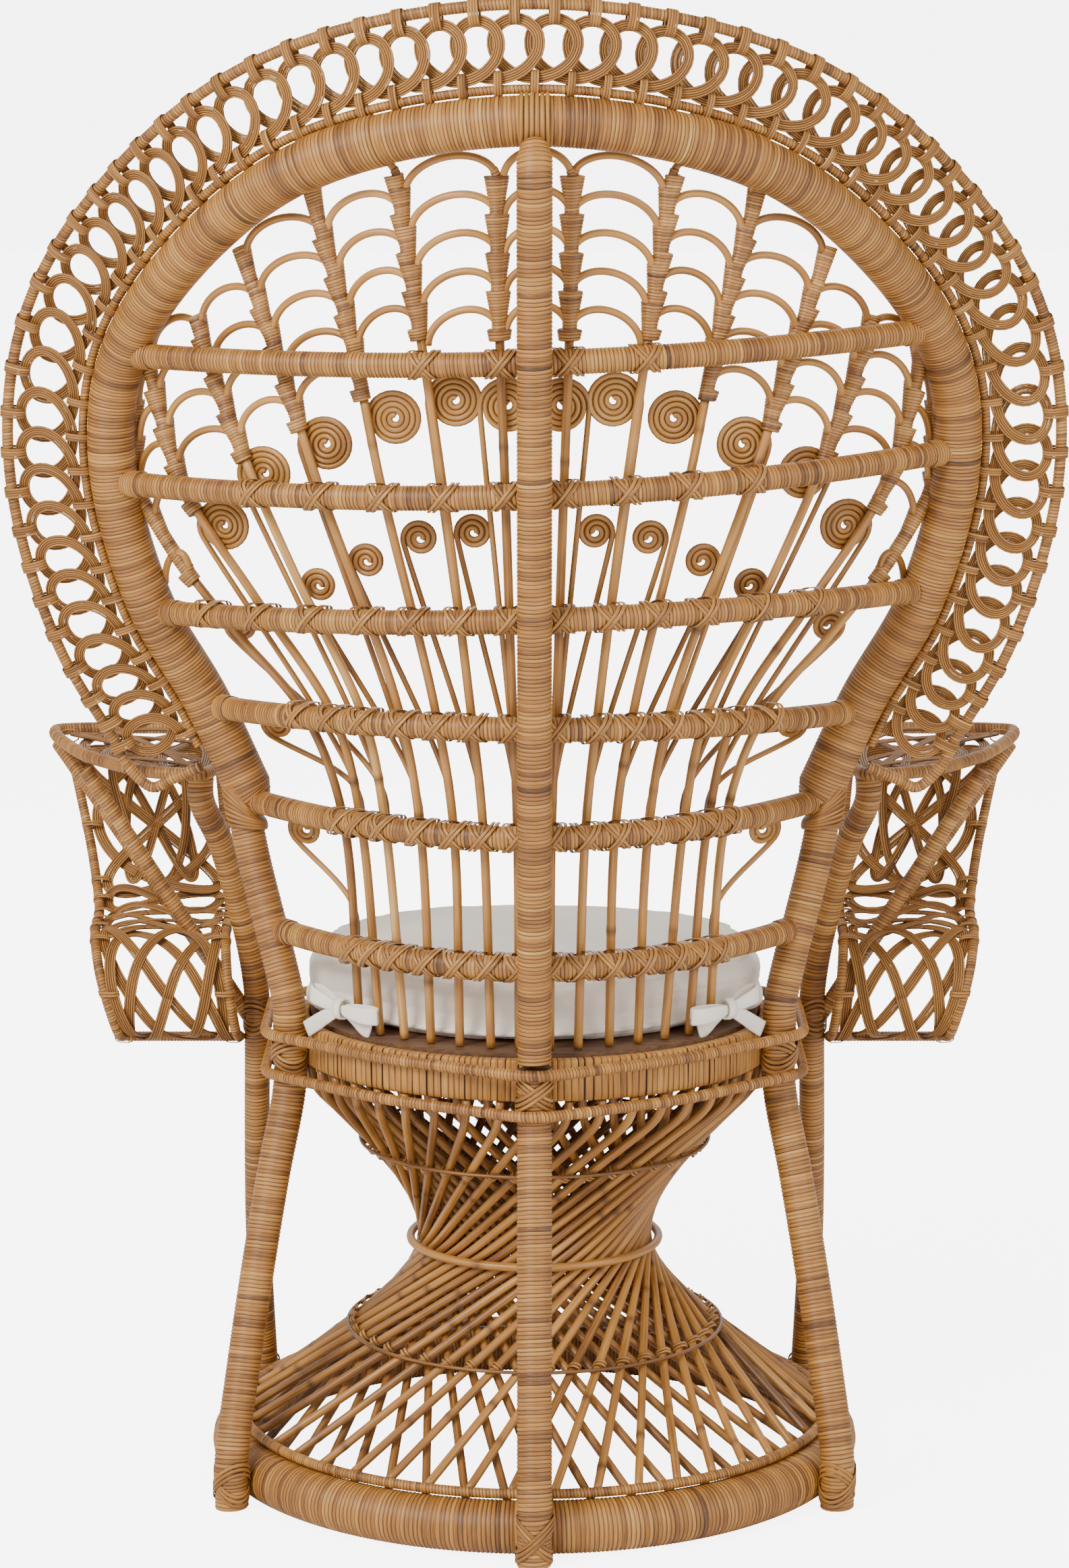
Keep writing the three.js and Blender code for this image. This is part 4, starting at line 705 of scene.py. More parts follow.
arm = {"height": 729, "frame": 7, "rod": 5.5, "reach": 519, "front": 285, "drop": 300, "brace": 8, "pole": 14}
hoopFlat = (seat["apron"] + clear) / math.cos(math.pi / 40) + seat["hoopTube"]
hoopRoundLeg = legSeat + (back["legTube"] + clear + seat["hoopTube"]) / math.cos(math.radians(30))
poleSeat = hoopRoundLeg + seat["hoopTube"] + 0.6 + arm["pole"] * math.cos(math.pi / 8)
poleHead = np.array((0.665 * arm["reach"], 0.12 * arm["front"], arm["height"] - arm["frame"] - clear))
poleKnee = polar(poleSeat, angles["poleSeat"], seat["hoops"][0])
polePlaces = [
    polar(legFoot, angles["poleFoot"], 0),
    polar(legFoot, angles["poleFoot"], back["legTube"]),
    polar((legFoot + poleSeat) / 2, (angles["poleFoot"] + angles["poleSeat"]) / 2, kneeHeight / 2),
    polar(poleSeat, angles["poleSeat"], seat["hoops"][1]),
    poleKnee,
    (poleKnee + (0, 0, arm["pole"] * 2)) * 0.85 + poleHead * 0.15,
    np.array((*poleHead[:2], (poleHead[2] + back["seat"]) / 2)) * 0.65
    + polar(poleSeat, angles["poleSeat"], poleHead[2]) * 0.35,
    poleHead - (0, 0, arm["pole"] * 2),
    poleHead,
]
poleLine = smoothed(polePlaces, 6)
for sideName, turned in bothSides:
    pole = newMesh()
    addWrap(pole, turned(poleLine), arm["pole"] - 0.4, "pole", 17, floorZ=0)
    footAngle = angles["poleFoot"] if sideName == "right" else 180 - angles["poleFoot"]
    footLashing(pole, footAngle, 18, arm["pole"])
    makePiece(pole, f"frontPole.{sideName}", "wrapped", f"front_pole_{sideName}")

centreLeg = newMesh()
centreLine = smoothed(legPlaces(-90, -90, seat["hoops"][0] + seat["hoopTube"]), 6)
addWrap(centreLeg, centreLine, back["legTube"] + 0.1, "leg", 21, floorZ=0)
footLashing(centreLeg, -90, 22, back["legTube"])
makePiece(centreLeg, "rearCentreLeg", "wrapped", "rear_centre_leg")

print("spine and rails")
spineLayer = -(back["railTube"] + back["spineTube"] + clear)
spineTopLayer = -(back["archTube"] + back["spineTube"] + clear)
spineFoot = seat["hoops"][0] + seat["hoopTube"] + clear
# The spine's end bends in to the arch (drops in arch tubes, and mm inward) and narrows (mm from the end, and mm of
# radius); strips go over it and the arch.
spineEnd = {"bends": ((2.1, 2), (1.25, 9), (0.6, 17)), "narrows": ((0, 6, 20), (5, 12, back["spineTube"] - 0.3)),
            "strips": 6, "spread": 12, "width": 4.9, "thick": 1.4, "behind": 25, "bulge": 4}
spinePlaces = [
    onBack(0, spineFoot, spineLayer), onBack(0, spineFoot, spineLayer) + (0, 0, back["spineTube"]),
    *(backPlace(0, share, spineLayer) for share in (0.3, 0.6, 0.86)),
    *(onBack(0, back["top"] - back["archTube"] * drop, spineTopLayer + inward) for drop, inward in spineEnd["bends"]),
]
# For each rail from the top: its share of the height, how much it bows up at its ends and how much it slants.
railShares = [(0.752, 0.01, 0.014), (0.613, 0.012, 0.018), (0.48, -0.006, 0.013),
              (0.362, -0.013, -0.003), (0.242, 0.004, 0), (0.097, 0.006, 0)]


def railHeight(rail, across):
    return rail[0] + rail[1] * across ** 2 + rail[2] * across


spine = newMesh()
spineLine = smoothed(spinePlaces, 6)
spineLength = lengths(spineLine)[-1]
addWrap(spine, spineLine, lambda run: np.interp(spineLength - run, *spineEnd["narrows"]), "spine", 23)
archMiddle = pick(archLine, archRun, 0.5)
for k, across in enumerate(np.linspace(-spineEnd["spread"], spineEnd["spread"], spineEnd["strips"])):
    behind = spineEnd["behind"] + spineEnd["bulge"] * math.sqrt(1 - (across / (spineEnd["spread"] + 1)) ** 2)
    before = back["archTube"] + 2
    # Each strip's flanks get painted shade where it lies against its neighbours.
    addLoop(spine, archMiddle + (across, (before - behind) / 2, 0), np.array((0, 0, 1.0)), np.array((0, 1.0, 0)),
            back["archTube"] + 2.2, (before + behind) / 2, spineEnd["width"], spineEnd["thick"],
            0.55 + 0.06 * (k % 3), 1.0, 28, 0.6)
makePiece(spine, "rearSpine", "wrapped", "rear_spine")

frameLine = np.vstack([sidePostLine[sidePostLine[:, 2] > back["seat"]], archLine[archLine[:, 0] > 30][::-1]])
frameOrder = frameLine[np.argsort(frameLine[:, 2])]


def frameHalf(z):
    return float(np.interp(z, frameOrder[:, 2], frameOrder[:, 0]))


railLines = []
for index, rail in enumerate(railShares):
    ends = [sign * frameHalf(back["seat"] + railHeight(rail, sign) * backRise) for sign in (-1, 1)]
    share = np.linspace(0, 1, 13)
    heights = back["seat"] + railHeight(rail, share * 2 - 1) * backRise
    railLine = smoothed(onBack(ends[0] + (ends[1] - ends[0]) * share, heights), 6)
    run = lengths(railLine)
    trim = back["archTube"] if index < 5 else back["legTube"]
    railLines.append(evenly(pick(railLine, run, np.linspace(trim * 0.75, run[-1] - trim * 0.75, 200)), 6))
    railPiece = newMesh()
    addWrap(railPiece, railLines[-1], back["railTube"] - 0.4, "rail", 50 + index)
    for endLine in (railLines[-1][:5], railLines[-1][-5:]):
        addWrap(railPiece, endLine, back["railTube"] + 0.9, "railEnd", 56 + index)
    makePiece(railPiece, f"backRail.{index + 1}", "wrapped", f"back_rail_{index + 1}")

print("spokes, stems, scallops and scrolls")
# Each spoke's places (shares across and up), where its stem starts, and the middles of its two scrolls.
spokeShares = [
    {"line": [(0.036, 0), (0.04, 0.25), (0.052, 0.4), (0.067, 0.62), (0.08, 0.8), (0.085, 0.955)],
     "stem": 0.775, "big": (0.062, 0.705), "small": (0.14, 0.57)},
    {"line": [(0.103, 0), (0.12, 0.25), (0.148, 0.38), (0.21, 0.62), (0.262, 0.79), (0.315, 0.96)],
     "stem": 0.775, "big": (0.181, 0.71), "small": (0.264, 0.562)},
    {"line": [(0.177, 0), (0.19, 0.25), (0.232, 0.38), (0.352, 0.62), (0.425, 0.79), (0.51, 0.93)],
     "stem": 0.71, "big": (0.32, 0.69), "small": (0.388, 0.535)},
    {"line": [(0.246, 0), (0.27, 0.25), (0.32, 0.38), (0.5, 0.62), (0.61, 0.78), (0.69, 0.88)],
     "stem": 0.675, "big": (0.48, 0.66), "small": (0.503, 0.505)},
    {"line": [(0.31, 0), (0.355, 0.25), (0.4, 0.36), (0.56, 0.52), (0.69, 0.66), (0.81, 0.82)],
     "stem": 0.64, "big": (0.627, 0.625), "small": (0.7, 0.45)},
    {"line": [(0.37, 0), (0.415, 0.25), (0.475, 0.36), (0.66, 0.49), (0.83, 0.61), (0.91, 0.74)],
     "stem": 0.58, "big": (0.73, 0.565), "small": (0.622, 0.335)},
    {"line": [(0.42, 0), (0.46, 0.25), (0.55, 0.36), (0.7, 0.44), (0.84, 0.52), (0.95, 0.6)],
     "stem": 0.5, "big": None, "small": (0.557, 0.215)},
]
# Radii of rod, stem, arc and scroll rod; winding, flare and funnel are the stem's radius, how far it widens under an
# arc and over what length; spacing, rise and drop are the arcs'.
spoke = {"tube": 5, "stem": 6.5, "arc": 3.7, "scroll": 2.75, "bigRadius": 29, "smallRadius": 19.5, "winding": 7.2,
         "flare": 5.0, "funnel": 30, "spacing": 36, "rise": 28, "drop": 12,
         "startGap": 25, "landingGap": 22, "hiddenGap": 17, "shortest": 14}
spokeLayer = back["railTube"] + spoke["stem"] + back["sag"] / 144 + clear
bigLayer = spokeLayer + spoke["tube"] + 3.4
smallLayer = bigLayer + 6.5
spokeCurves = [curve([(a * back["half"], 0, back["seat"] + u * backRise) for a, u in item["line"]])
               for item in spokeShares]


def spokeX(index, z):
    return np.interp(z, spokeCurves[index][:, 2], spokeCurves[index][:, 0])


def scrollLine(root, via, centre, radius, layer, side):
    outer = radius - spoke["scroll"]
    inner = spoke["scroll"]
    turns = (outer - inner) / (spoke["scroll"] * 2 - 0.1)
    cx, cz = centre[0] * back["half"], back["seat"] + centre[1] * backRise
    start = -math.atan2(cx + outer - via[0], cz - via[1])
    steps = np.linspace(0, 1, int(turns * 26))
    angle = start + steps * turns * 2 * math.pi
    reach = outer + (inner - outer) * steps
    x = np.concatenate([[root[0], via[0]], cx + reach * np.cos(angle)])
    z = np.concatenate([[root[1], via[1]], cz + reach * np.sin(angle)])
    layers = np.full(len(x), layer)
    layers[0] = spokeLayer + 3
    head = evenly(curve(onBack(side * x[:3], z[:3], layers[:3])), 8)
    return np.vstack([head[:-1], onBack(side * x[2:], z[2:], layers[2:])])


def scallopLine(fromX, fromZ, toX, toZ, side, layer):
    angle = np.linspace(math.pi, 0, 25)
    share = (1 + np.cos(angle)) / 2
    z = fromZ + (toZ - fromZ) * share + spoke["rise"] * np.sin(angle)
    return onBack(side * (fromX + (toX - fromX) * share), z, layer)


# How near a line comes to the middle of the arch, seen square on.
def archGap(line):
    return np.linalg.norm(line[:, None][..., [0, 2]] - archLine[None, ::3][..., [0, 2]], axis=-1)


# The arcs from one spoke to the next, or from the last one to the arch. The arch hides the topmost arc's crown.
def arcsOf(index, side):
    item = spokeShares[index]
    hasNext = index + 1 < len(spokeShares)
    found = []
    for z in np.arange(back["seat"] + item["stem"] * backRise + 6, back["top"], spoke["spacing"]):
        landing = z - spoke["drop"]
        toX = frameHalf(landing) - back["archTube"] + 1
        if hasNext:
            toX = spokeX(index + 1, landing) - spoke["stem"] + 0.5
        arc = scallopLine(spokeX(index, z), z, toX, landing, side, spokeLayer)
        gap = archGap(arc)
        lands = not hasNext or gap[-1].min() >= spoke["landingGap"]
        if gap[0].min() < spoke["startGap"] or not lands or abs(arc[-1, 0]) - abs(arc[0, 0]) < spoke["shortest"]:
            break
        found.append((z, landing, arc, gap))
    return found


# Splits an arc where the arch hides it, and keeps the stretch of the arch that holds it there.
bandStretches = []


def shownParts(arc, gap):
    hidden = gap.min(axis=1) < spoke["hiddenGap"]
    if not hidden.any():
        return [arc]
    first, last = np.argmax(hidden), len(hidden) - 1 - np.argmax(hidden[::-1])
    spots = np.sort([gap[first].argmin() * 3, gap[last].argmin() * 3])
    bandStretches.append((max(spots[0] - 4, 0), min(spots[1] + 4, len(archLine) - 1)))
    return [part for part in (arc[:first + 1], arc[last:]) if len(part) > 2]


for index, item in enumerate(spokeShares):
    for sideName, side in (("right", 1), ("left", -1)):
        chance = np.random.default_rng(100 + index * 2 + (side > 0))
        piece = newMesh(False)
        stemZ = back["seat"] + item["stem"] * backRise
        z = np.arange(back["seat"] + 1.2, stemZ + 6, 7)
        addRod(piece, onBack(side * spokeX(index, z), z, spokeLayer), spoke["tube"] - 0.5, 8,
               0.5 + chance.normal(0, 0.1), (0, 1, 0), rings=chance.uniform(0, 60) + np.arange(60, 800, 170),
               seed=chance.uniform(0, 9))
        arcs = arcsOf(index, side)
        roots = np.array([z for z, _, _, _ in arcs])
        landings = np.array([landing for _, landing, _, _ in arcsOf(index - 1, side)]) if index else roots
        stemTop = max([stemZ + 20, *roots, *landings]) + 6
        z = np.append(np.arange(stemZ - 2, stemTop, 5), stemTop)
        stemLine = onBack(side * spokeX(index, z), z, spokeLayer)
        stemRun = lengths(stemLine)
        outerRuns, innerRuns = (np.append(np.interp(held + 4, z, stemRun), -999) for held in (roots, landings))

        # The stem's winding widens under each arc, which it holds, and steps in again above it.
        def stemSection(angle, run):
            flares = []
            for held in (outerRuns, innerRuns):
                below = held[:, None, None] - run[None]
                share = np.where((below > 0) & (below < spoke["funnel"]), 1 - below / spoke["funnel"], 0)
                flares.append(share.max(axis=0) * spoke["flare"])
            flare = np.where(-np.sin(angle) * side > 0, flares[0], flares[1])
            return ((spoke["winding"] + flare * 0.25) * np.cos(angle), (spoke["winding"] + flare) * np.sin(angle))

        addWrap(piece, stemLine, 1, "stem", 120 + index * 2 + (side > 0), up=(0, 1, 0), section=stemSection)
        if index == 0 and side > 0:
            for z in roots:
                reach = spokeX(0, z)
                arc = scallopLine(reach, z, -reach + spoke["stem"] - 0.5, z, side, spokeLayer)
                arcs.append((z, z, arc, archGap(arc)))
        for _, _, arc, gap in arcs:
            for part in shownParts(arc, gap):
                addRod(piece, part, spoke["arc"], 8, 0.55 + chance.normal(0, 0.07), (0, 1, 0),
                       seed=chance.uniform(0, 9))
            collar = evenly(pick(arc, lengths(arc), np.linspace(2, 12, 8)), 3)
            addWrap(piece, collar, spoke["arc"] + 0.9, "collar", 150 + index, up=(0, 1, 0))
        footRail = 4 if item["big"] else 5
        rodFoot = back["seat"] + railShares[footRail][0] * backRise - back["railTube"] * 1.6
        scrolls = (item["big"], spoke["bigRadius"], bigLayer), (item["small"], spoke["smallRadius"], smallLayer)
        for centre, radius, layer in scrolls:
            if centre is None:
                continue
            via = (railShares[footRail][0] * 2 + min(railShares[footRail - 1][0], centre[1])) / 3
            viaZ = back["seat"] + via * backRise
            root = (spokeX(index, rodFoot), rodFoot)
            line = scrollLine(root, (spokeX(index, viaZ), viaZ), centre, radius, layer, side)
            # The scroll's flanks get painted shade where its turns lie against each other.
            addRod(piece, line, (spoke["scroll"], spoke["scroll"] + 0.15), 10, 0.52 + chance.normal(0, 0.08),
                   (0, 1, 0), seed=chance.uniform(0, 9), contactShade=0.8)
        # Each spoke is tied to the rails that it crosses.
        for railIndex, rail in enumerate(railShares):
            x = side * spokeX(index, back["seat"] + rail[0] * backRise)
            height = back["seat"] + railHeight(rail, x / back["half"]) * backRise
            if height > stemZ - back["railTube"]:
                continue
            slope = 2 * back["sag"] * x / sideWidth(height) ** 2
            hug = back["railTube"] + 0.5
            addLashing(piece, onBack(x, height), (0, -back["lean"], 1), (1, slope, 0), (hug, back["railTube"] * 0.9),
                       (hug, spokeLayer + spoke["tube"] + 0.6), 200 + index * 20 + railIndex, 2, 3.6, 1.1, False)
        makePiece(piece, f"backSpoke.{sideName}.{index + 1}", "rod", f"back_spoke_{sideName}_{index + 1}")

# Wide bands bind the topmost arcs to the arch.
bands = newMesh()
for k, (first, last) in enumerate(bandStretches):
    if lengths(archLine[first:last + 1])[-1] > 12:
        addWrap(bands, evenly(archLine[first:last + 1], 4), back["archTube"] + 1.1, "band", 500 + k)
makePiece(bands, "archBands", "wrapped")

print("seat")

# The apron: a dark core band whose faces carry full painted shade where the strips lie on them, and round it upright
# strips of many widths, with a little painted shade on their flanks, and a few open gaps.
apron = newMesh()
halfTall, halfThick = seat["depth"] / 2 - seat["trim"], seat["wall"] / 2
apronMiddle, apronLevel = seat["apron"] - halfThick, back["seat"] - seat["depth"] / 2 - seat["trim"]
addRod(apron, circle(apronMiddle, apronLevel, 3), (halfTall - 1.3, halfThick - 1.4), 16, 0.0, (0, 0, 1), True,
       contactShade=1.0, power=0.3)
chance = np.random.default_rng(71)
degrees = 0.0
while degrees < 360:
    width = chance.uniform(*seat["stripWidths"])
    gap = chance.uniform(*seat["openGaps"]) if chance.random() < seat["openShare"] else seat["closeGap"]
    turn = degrees + math.degrees(width / 2 / seat["apron"])
    lean = unit(np.array((0, 0, 1.0)) + unit(polar(1, turn + 90, 0)) * chance.normal(0, 0.012))
    addLoop(apron, polar(apronMiddle, turn, apronLevel), lean, unit(polar(1, turn, 0)), halfTall - 0.6,
            halfThick - 0.6, width, 1.2, 0.56 + chance.normal(0, 0.06), 0.3, 20, 0.25, 8, 0.5)
    degrees += math.degrees((width + gap) / seat["apron"])
makePiece(apron, "seatApron", "wrapped", "seat_apron")

hoopSlant = math.acos(hoopFlat / hoopRoundLeg)
legAngles = (-90, angles["rearSeat"], 180 - angles["rearSeat"], angles["poleSeat"], 180 - angles["poleSeat"])


# A seat hoop is pulled taut: straight from the apron to each leg, and between the legs at each side.
def seatHoopRadius(degrees):
    radius = hoopFlat
    for leg in legAngles:
        away = math.radians(abs((degrees - leg + 540) % 360 - 180))
        if away < hoopSlant:
            radius = max(radius, hoopFlat / math.cos(hoopSlant - away))
    sideAway = math.radians(min(abs((degrees + 180) % 360 - 180), abs(degrees % 360 - 180)))
    sideSpan = math.radians(angles["poleSeat"])
    if sideAway <= sideSpan:
        radius = max(radius, hoopRoundLeg * math.cos(sideSpan) / math.cos(sideAway))
    return radius


for name, level, seed in (("upper", seat["hoops"][0], 5), ("lower", seat["hoops"][1], 6)):
    seatHoop = newMesh()
    line = np.array([polar(seatHoopRadius(a), a, level) for a in np.arange(0, 360.01, 2)])
    for _ in range(3):
        inner = (line[:-1] + (np.roll(line[:-1], 1, 0) + np.roll(line[:-1], -1, 0))) / 3
        line = np.vstack([inner, inner[:1]])
    addWrap(seatHoop, line, seat["hoopTube"] - 0.5, "hoop", seed, True, (0, 0, 1))
    # Crossed strips hold both hoops to each leg: they lie on the leg between the hoops.
    if name == "lower":
        middle = sum(seat["hoops"]) / 2
        for k, leg in enumerate(legAngles):
            radius, hug, seed = (legSeat, back["legTube"] + 0.8, 80) if k < 3 else (poleSeat, arm["pole"] + 0.6, 84)
            addLashing(seatHoop, polar(radius, leg, middle), (0, 0, 1), polar(1, leg + 90, 0), (hug, 13), (hug, hug),
                       seed)
    makePiece(seatHoop, f"seatHoop.{name}", "wrapped", f"seat_hoop_{name}")

print("hourglass")
# height is the waist's and shoulder what the heads stand above it; the steps are how far the inner layer of rods
# stands in from the outer; tube is a rod's drawn radius and cadTube its solid's; rise and fall place the bindings.
hourglass = {"rods": 44, "groups": 4, "tube": 4.4, "cadTube": 4.6, "waist": 118, "height": 243, "shoulder": 172,
             "layerStep": 11, "topStep": 0.4, "footStep": 10, "footHeight": 39.5, "headOut": 16, "ringTube": 4.5,
             "rise": 103, "fall": 95, "binding": 2, "tone": 0.5, "innerTone": 0.36}
topRadius = seat["apron"] - seat["wall"] - 9.5
apronFoot = back["seat"] - seat["depth"]
topHeight = back["seat"] - seat["deck"] - 4.9
lowRadius = base["radius"] - base["hoopTube"] * 2


def turnedAbout(point, degrees):
    c, s = math.cos(math.radians(degrees)), math.sin(math.radians(degrees))
    return np.array((point[0] * c - point[1] * s, point[0] * s + point[1] * c, point[2]))


# A rod passes the waist at one side and leans, so that its ends stand further round: foot, waist, shoulder and head.
def rodPlaces(degrees, lean, waist, footRadius, footHeight, headRadius):
    foot = np.array((waist, -lean * math.sqrt(footRadius ** 2 - waist ** 2), footHeight))
    middle = np.array((waist, 0, hourglass["height"]))
    shoulder = middle + (0, lean * math.sqrt(headRadius ** 2 - waist ** 2), hourglass["shoulder"])
    head = np.array((*shoulder[:2], topHeight if lean < 0 else apronFoot - 1))
    turn = degrees - math.degrees(math.atan2(shoulder[1], shoulder[0]))
    return [turnedAbout(place, turn) for place in (foot, middle, shoulder, head)]


def outerRod(degrees):
    return rodPlaces(degrees, 1, hourglass["waist"], lowRadius, baseHoopZ, topRadius + hourglass["headOut"])


def innerRod(degrees):
    return rodPlaces(degrees, -1, hourglass["waist"] - hourglass["layerStep"], base["radius"] - hourglass["footStep"],
                     hourglass["footHeight"], topRadius - hourglass["topStep"])


rodsPerGroup = hourglass["rods"] // hourglass["groups"]
for group in range(hourglass["groups"]):
    rods = newMesh(False)
    chance = np.random.default_rng(300 + group)
    tops = []
    for rod in range(rodsPerGroup):
        degrees = (group * rodsPerGroup + rod) / hourglass["rods"] * 360
        inner = innerRod(degrees + 180 / hourglass["rods"])
        for places, tone in ((outerRod(degrees), hourglass["tone"]), (inner, hourglass["innerTone"])):
            line = bent(places, 30)
            addRod(rods, line, hourglass["tube"], 10, tone + chance.normal(0, 0.1), None, False,
                   chance.uniform(20, 120) + np.arange(0, 600, 190), chance.uniform(0, 9))
            tops.append(places[-1])
    addRod(rods, smoothed([top + (0, 0, -4) for top in tops[1::4]], 10), (3.5, 8), 8, 0.4, (0, 0, 1), seed=2)
    makePiece(rods, f"hourglassRods.{group + 1}", "rod", f"hourglass_rods_{group + 1}")

waistRing = newMesh(False)
waistOuter = (hourglass["waist"] + hourglass["cadTube"] + 1.2) / math.cos(math.pi / 24) + hourglass["ringTube"]
addRod(waistRing, circle(waistOuter, hourglass["height"] - hourglass["ringTube"], 4), hourglass["ringTube"] - 0.1,
       12, 0.5, (0, 0, 1), True, np.arange(70, 800, 240), 3)
makePiece(waistRing, "waistRing", "rod", "waist_ring")

for name, rise in (("upper", hourglass["rise"]), ("lower", -hourglass["fall"])):
    ring = newMesh(False)
    sample = outerRod(0)
    far = sample[2] if rise > 0 else sample[0]
    share = rise / (far[2] - hourglass["height"])
    spots = []
    for k in range(hourglass["rods"]):
        places = outerRod(k / hourglass["rods"] * 360)
        far = places[2] if rise > 0 else places[0]
        spots.append((places[1] + (far - places[1]) * share, unit(far - places[1])))
    reach = math.hypot(*spots[0][0][:2])
    slope = abs(rise) * (reach ** 2 - hourglass["waist"] ** 2) / rise ** 2 / reach
    radius = reach + (hourglass["cadTube"] + hourglass["binding"] + 0.9) * math.hypot(1, slope)
    addRod(ring, circle(radius, hourglass["height"] + rise, 4), 1.9, 8, 0.2, (0, 0, 1), True, seed=4)
    for k, (centre, along) in enumerate(spots):
        out = unit(centre * (1, 1, 0))
        out = unit(out - along * np.dot(out, along))
        beside = np.cross(along, out)
        for shift in (-1.9, 1.9):
            addLoop(ring, centre + along * shift + out * 1.9, out, beside, 7.6, 5.5, 3.2, 1.1,
                    0.42 + 0.12 * (k % 3), 0.9, 12)
    makePiece(ring, f"binding.{name}", "rod", f"binding_{name}")

print("arms")
# Corners of the arm as shares of its reach and its front, and of the panel as shares forward and down.
armCornerShares = [(0.65, -0.06), (0.775, 0.005), (0.91, 0.37), (1, 1), (0.66, 1.02), (0.615, 0.5)]
armInnerShares = [(0.615, -0.05), (0.6, 0.5), (0.66, 1.02)]
armOuterShares = [(0.765, -0.045), (0.91, 0.37), (1, 1)]
panelShares = [(0.99, 0.05), (0.92, 0.22), (0.8, 0.42), (0.58, 0.585), (0.28, 0.63), (0.13, 0.76), (0.18, 0.95),
               (0.34, 1)]
# The knots in each arm's top and panel: middle, half length, half width, swings, cores, seed, core radius and turn.
topKnots = [(0.5, 0.45, 0.84, (4, 3), 5, 402), (0.5, 0.4, 0.55, (1, 2), 4, 409)]
panelKnots = [
    (0.2, 0.185, 0.84, (3, 2), 5, 406), (0.2, 0.15, 0.5, (2, 3), 4, 408),
    (0.415, 0.034, 0.86, (1, 2), 5, 410, 1.15, 0), (0.475, 0.034, 0.86, (1, 2), 5, 411, 1.15, 0.3),
    (0.535, 0.034, 0.86, (1, 2), 5, 412, 1.15, 0), (0.595, 0.034, 0.86, (1, 2), 5, 413, 1.15, 0.3),
    (0.8, 0.185, 0.86, (3, 4), 5, 416, 1.2),
]
panelTies = (0.045, 0.2, 0.355, 0.415, 0.475, 0.535, 0.595, 0.65, 0.79, 0.93)
tie = {"step": 1.6, "across": 10.5, "deep": 6.8, "width": 3.2, "thick": 1.1}
lifts = {"top": 6.38, "panel": 8.8}  # how far a knot's strands pass over and under each other, mm


def armPlace(across, along, z=None):
    return np.array((across * arm["reach"], along * arm["front"], arm["height"] if z is None else z))


armFrameLine = smoothed([armPlace(a, b) for a, b in armCornerShares], 5, True, 0.3)
armInnerLine = curve([armPlace(a, b) for a, b in armInnerShares])
armOuterLine = curve([armPlace(a, b) for a, b in armOuterShares])


def panelLine(topAcross, footAcross):
    return smoothed([armPlace(topAcross + (footAcross - topAcross) * drop, along, arm["height"] - drop * arm["drop"])
                     for along, drop in panelShares], 4)


panelOuter, panelInner = panelLine(0.985, 0.835), panelLine(0.67, 0.6)


# A woven knot: one strand of cores that swings to the sides and along the face in turn, and passes over and under
# itself. swings says how often it goes each way; out is a share of the half width.
def knot(mesh, place, turned, middle, halfAlong, halfOut, swings, cores, seed, radius=1.25, turn=0.0):
    angle = np.linspace(0, 2 * math.pi, 60 * max(swings))
    out = halfOut * np.sin(swings[0] * angle + turn)
    share = middle + halfAlong * np.sin(swings[1] * angle)
    line, face = place(np.clip(share, 0.005, 0.995), out, 0.42 * np.sin(sum(swings) * angle + 0.6))
    addCores(mesh, turned(line), turned(face), cores, radius, seed)


def topPlace(share, out, lift):
    inner = pick(armInnerLine, np.linspace(0, 1, len(armInnerLine)), share)
    outer = pick(armOuterLine, np.linspace(0, 1, len(armOuterLine)), share)
    line = inner + (outer - inner) * ((out + 1) / 2)[:, None]
    line[:, 2] += lift * lifts["top"]
    return line, np.broadcast_to((0, 0, 1.0), line.shape)


# Strips that tie a knot's side loops to the rods beside them.
def sideTies(mesh, place, turned, shares, out=0.93):
    for share in shares:
        for sign in (-1, 1):
            ends, face = place(np.array([share, share + 0.01]), np.array([out, out]) * sign, np.zeros(2))
            inner, _ = place(np.array([share, share]), np.array([-1.0, 1.0]), np.zeros(2))
            ends, inner, face = turned(ends), turned(inner), turned(face)
            for k in (-tie["step"], tie["step"]):
                addLoop(mesh, ends[0] + unit(ends[1] - ends[0]) * k, unit(inner[1] - inner[0]), unit(face[0]),
                        tie["across"], tie["deep"], tie["width"], tie["thick"], 0.45, 0.8, 14)


def panelPlace(share, out, lift):
    spots = np.linspace(0, 1, len(panelInner))
    outerSpots = np.linspace(0, 1, len(panelOuter))
    inner, outer = pick(panelInner, spots, share), pick(panelOuter, outerSpots, share)
    across = unit(outer - inner)
    along = unit(pick(np.gradient(panelOuter, axis=0), outerSpots, share))
    face = unit(np.cross(along, across))
    return inner + (outer - inner) * ((out + 1) / 2)[:, None] + face * (lift * lifts["panel"])[:, None], face


braceFoot = polar(poleSeat, angles["poleSeat"], back["seat"] - seat["depth"])
braces = []
for across, along in armCornerShares[2:4]:
    head = armPlace(across, along, arm["height"] - arm["frame"] - arm["brace"] / 2) - (0, arm["frame"] * 2, 0)
    braces.append((head, braceFoot))

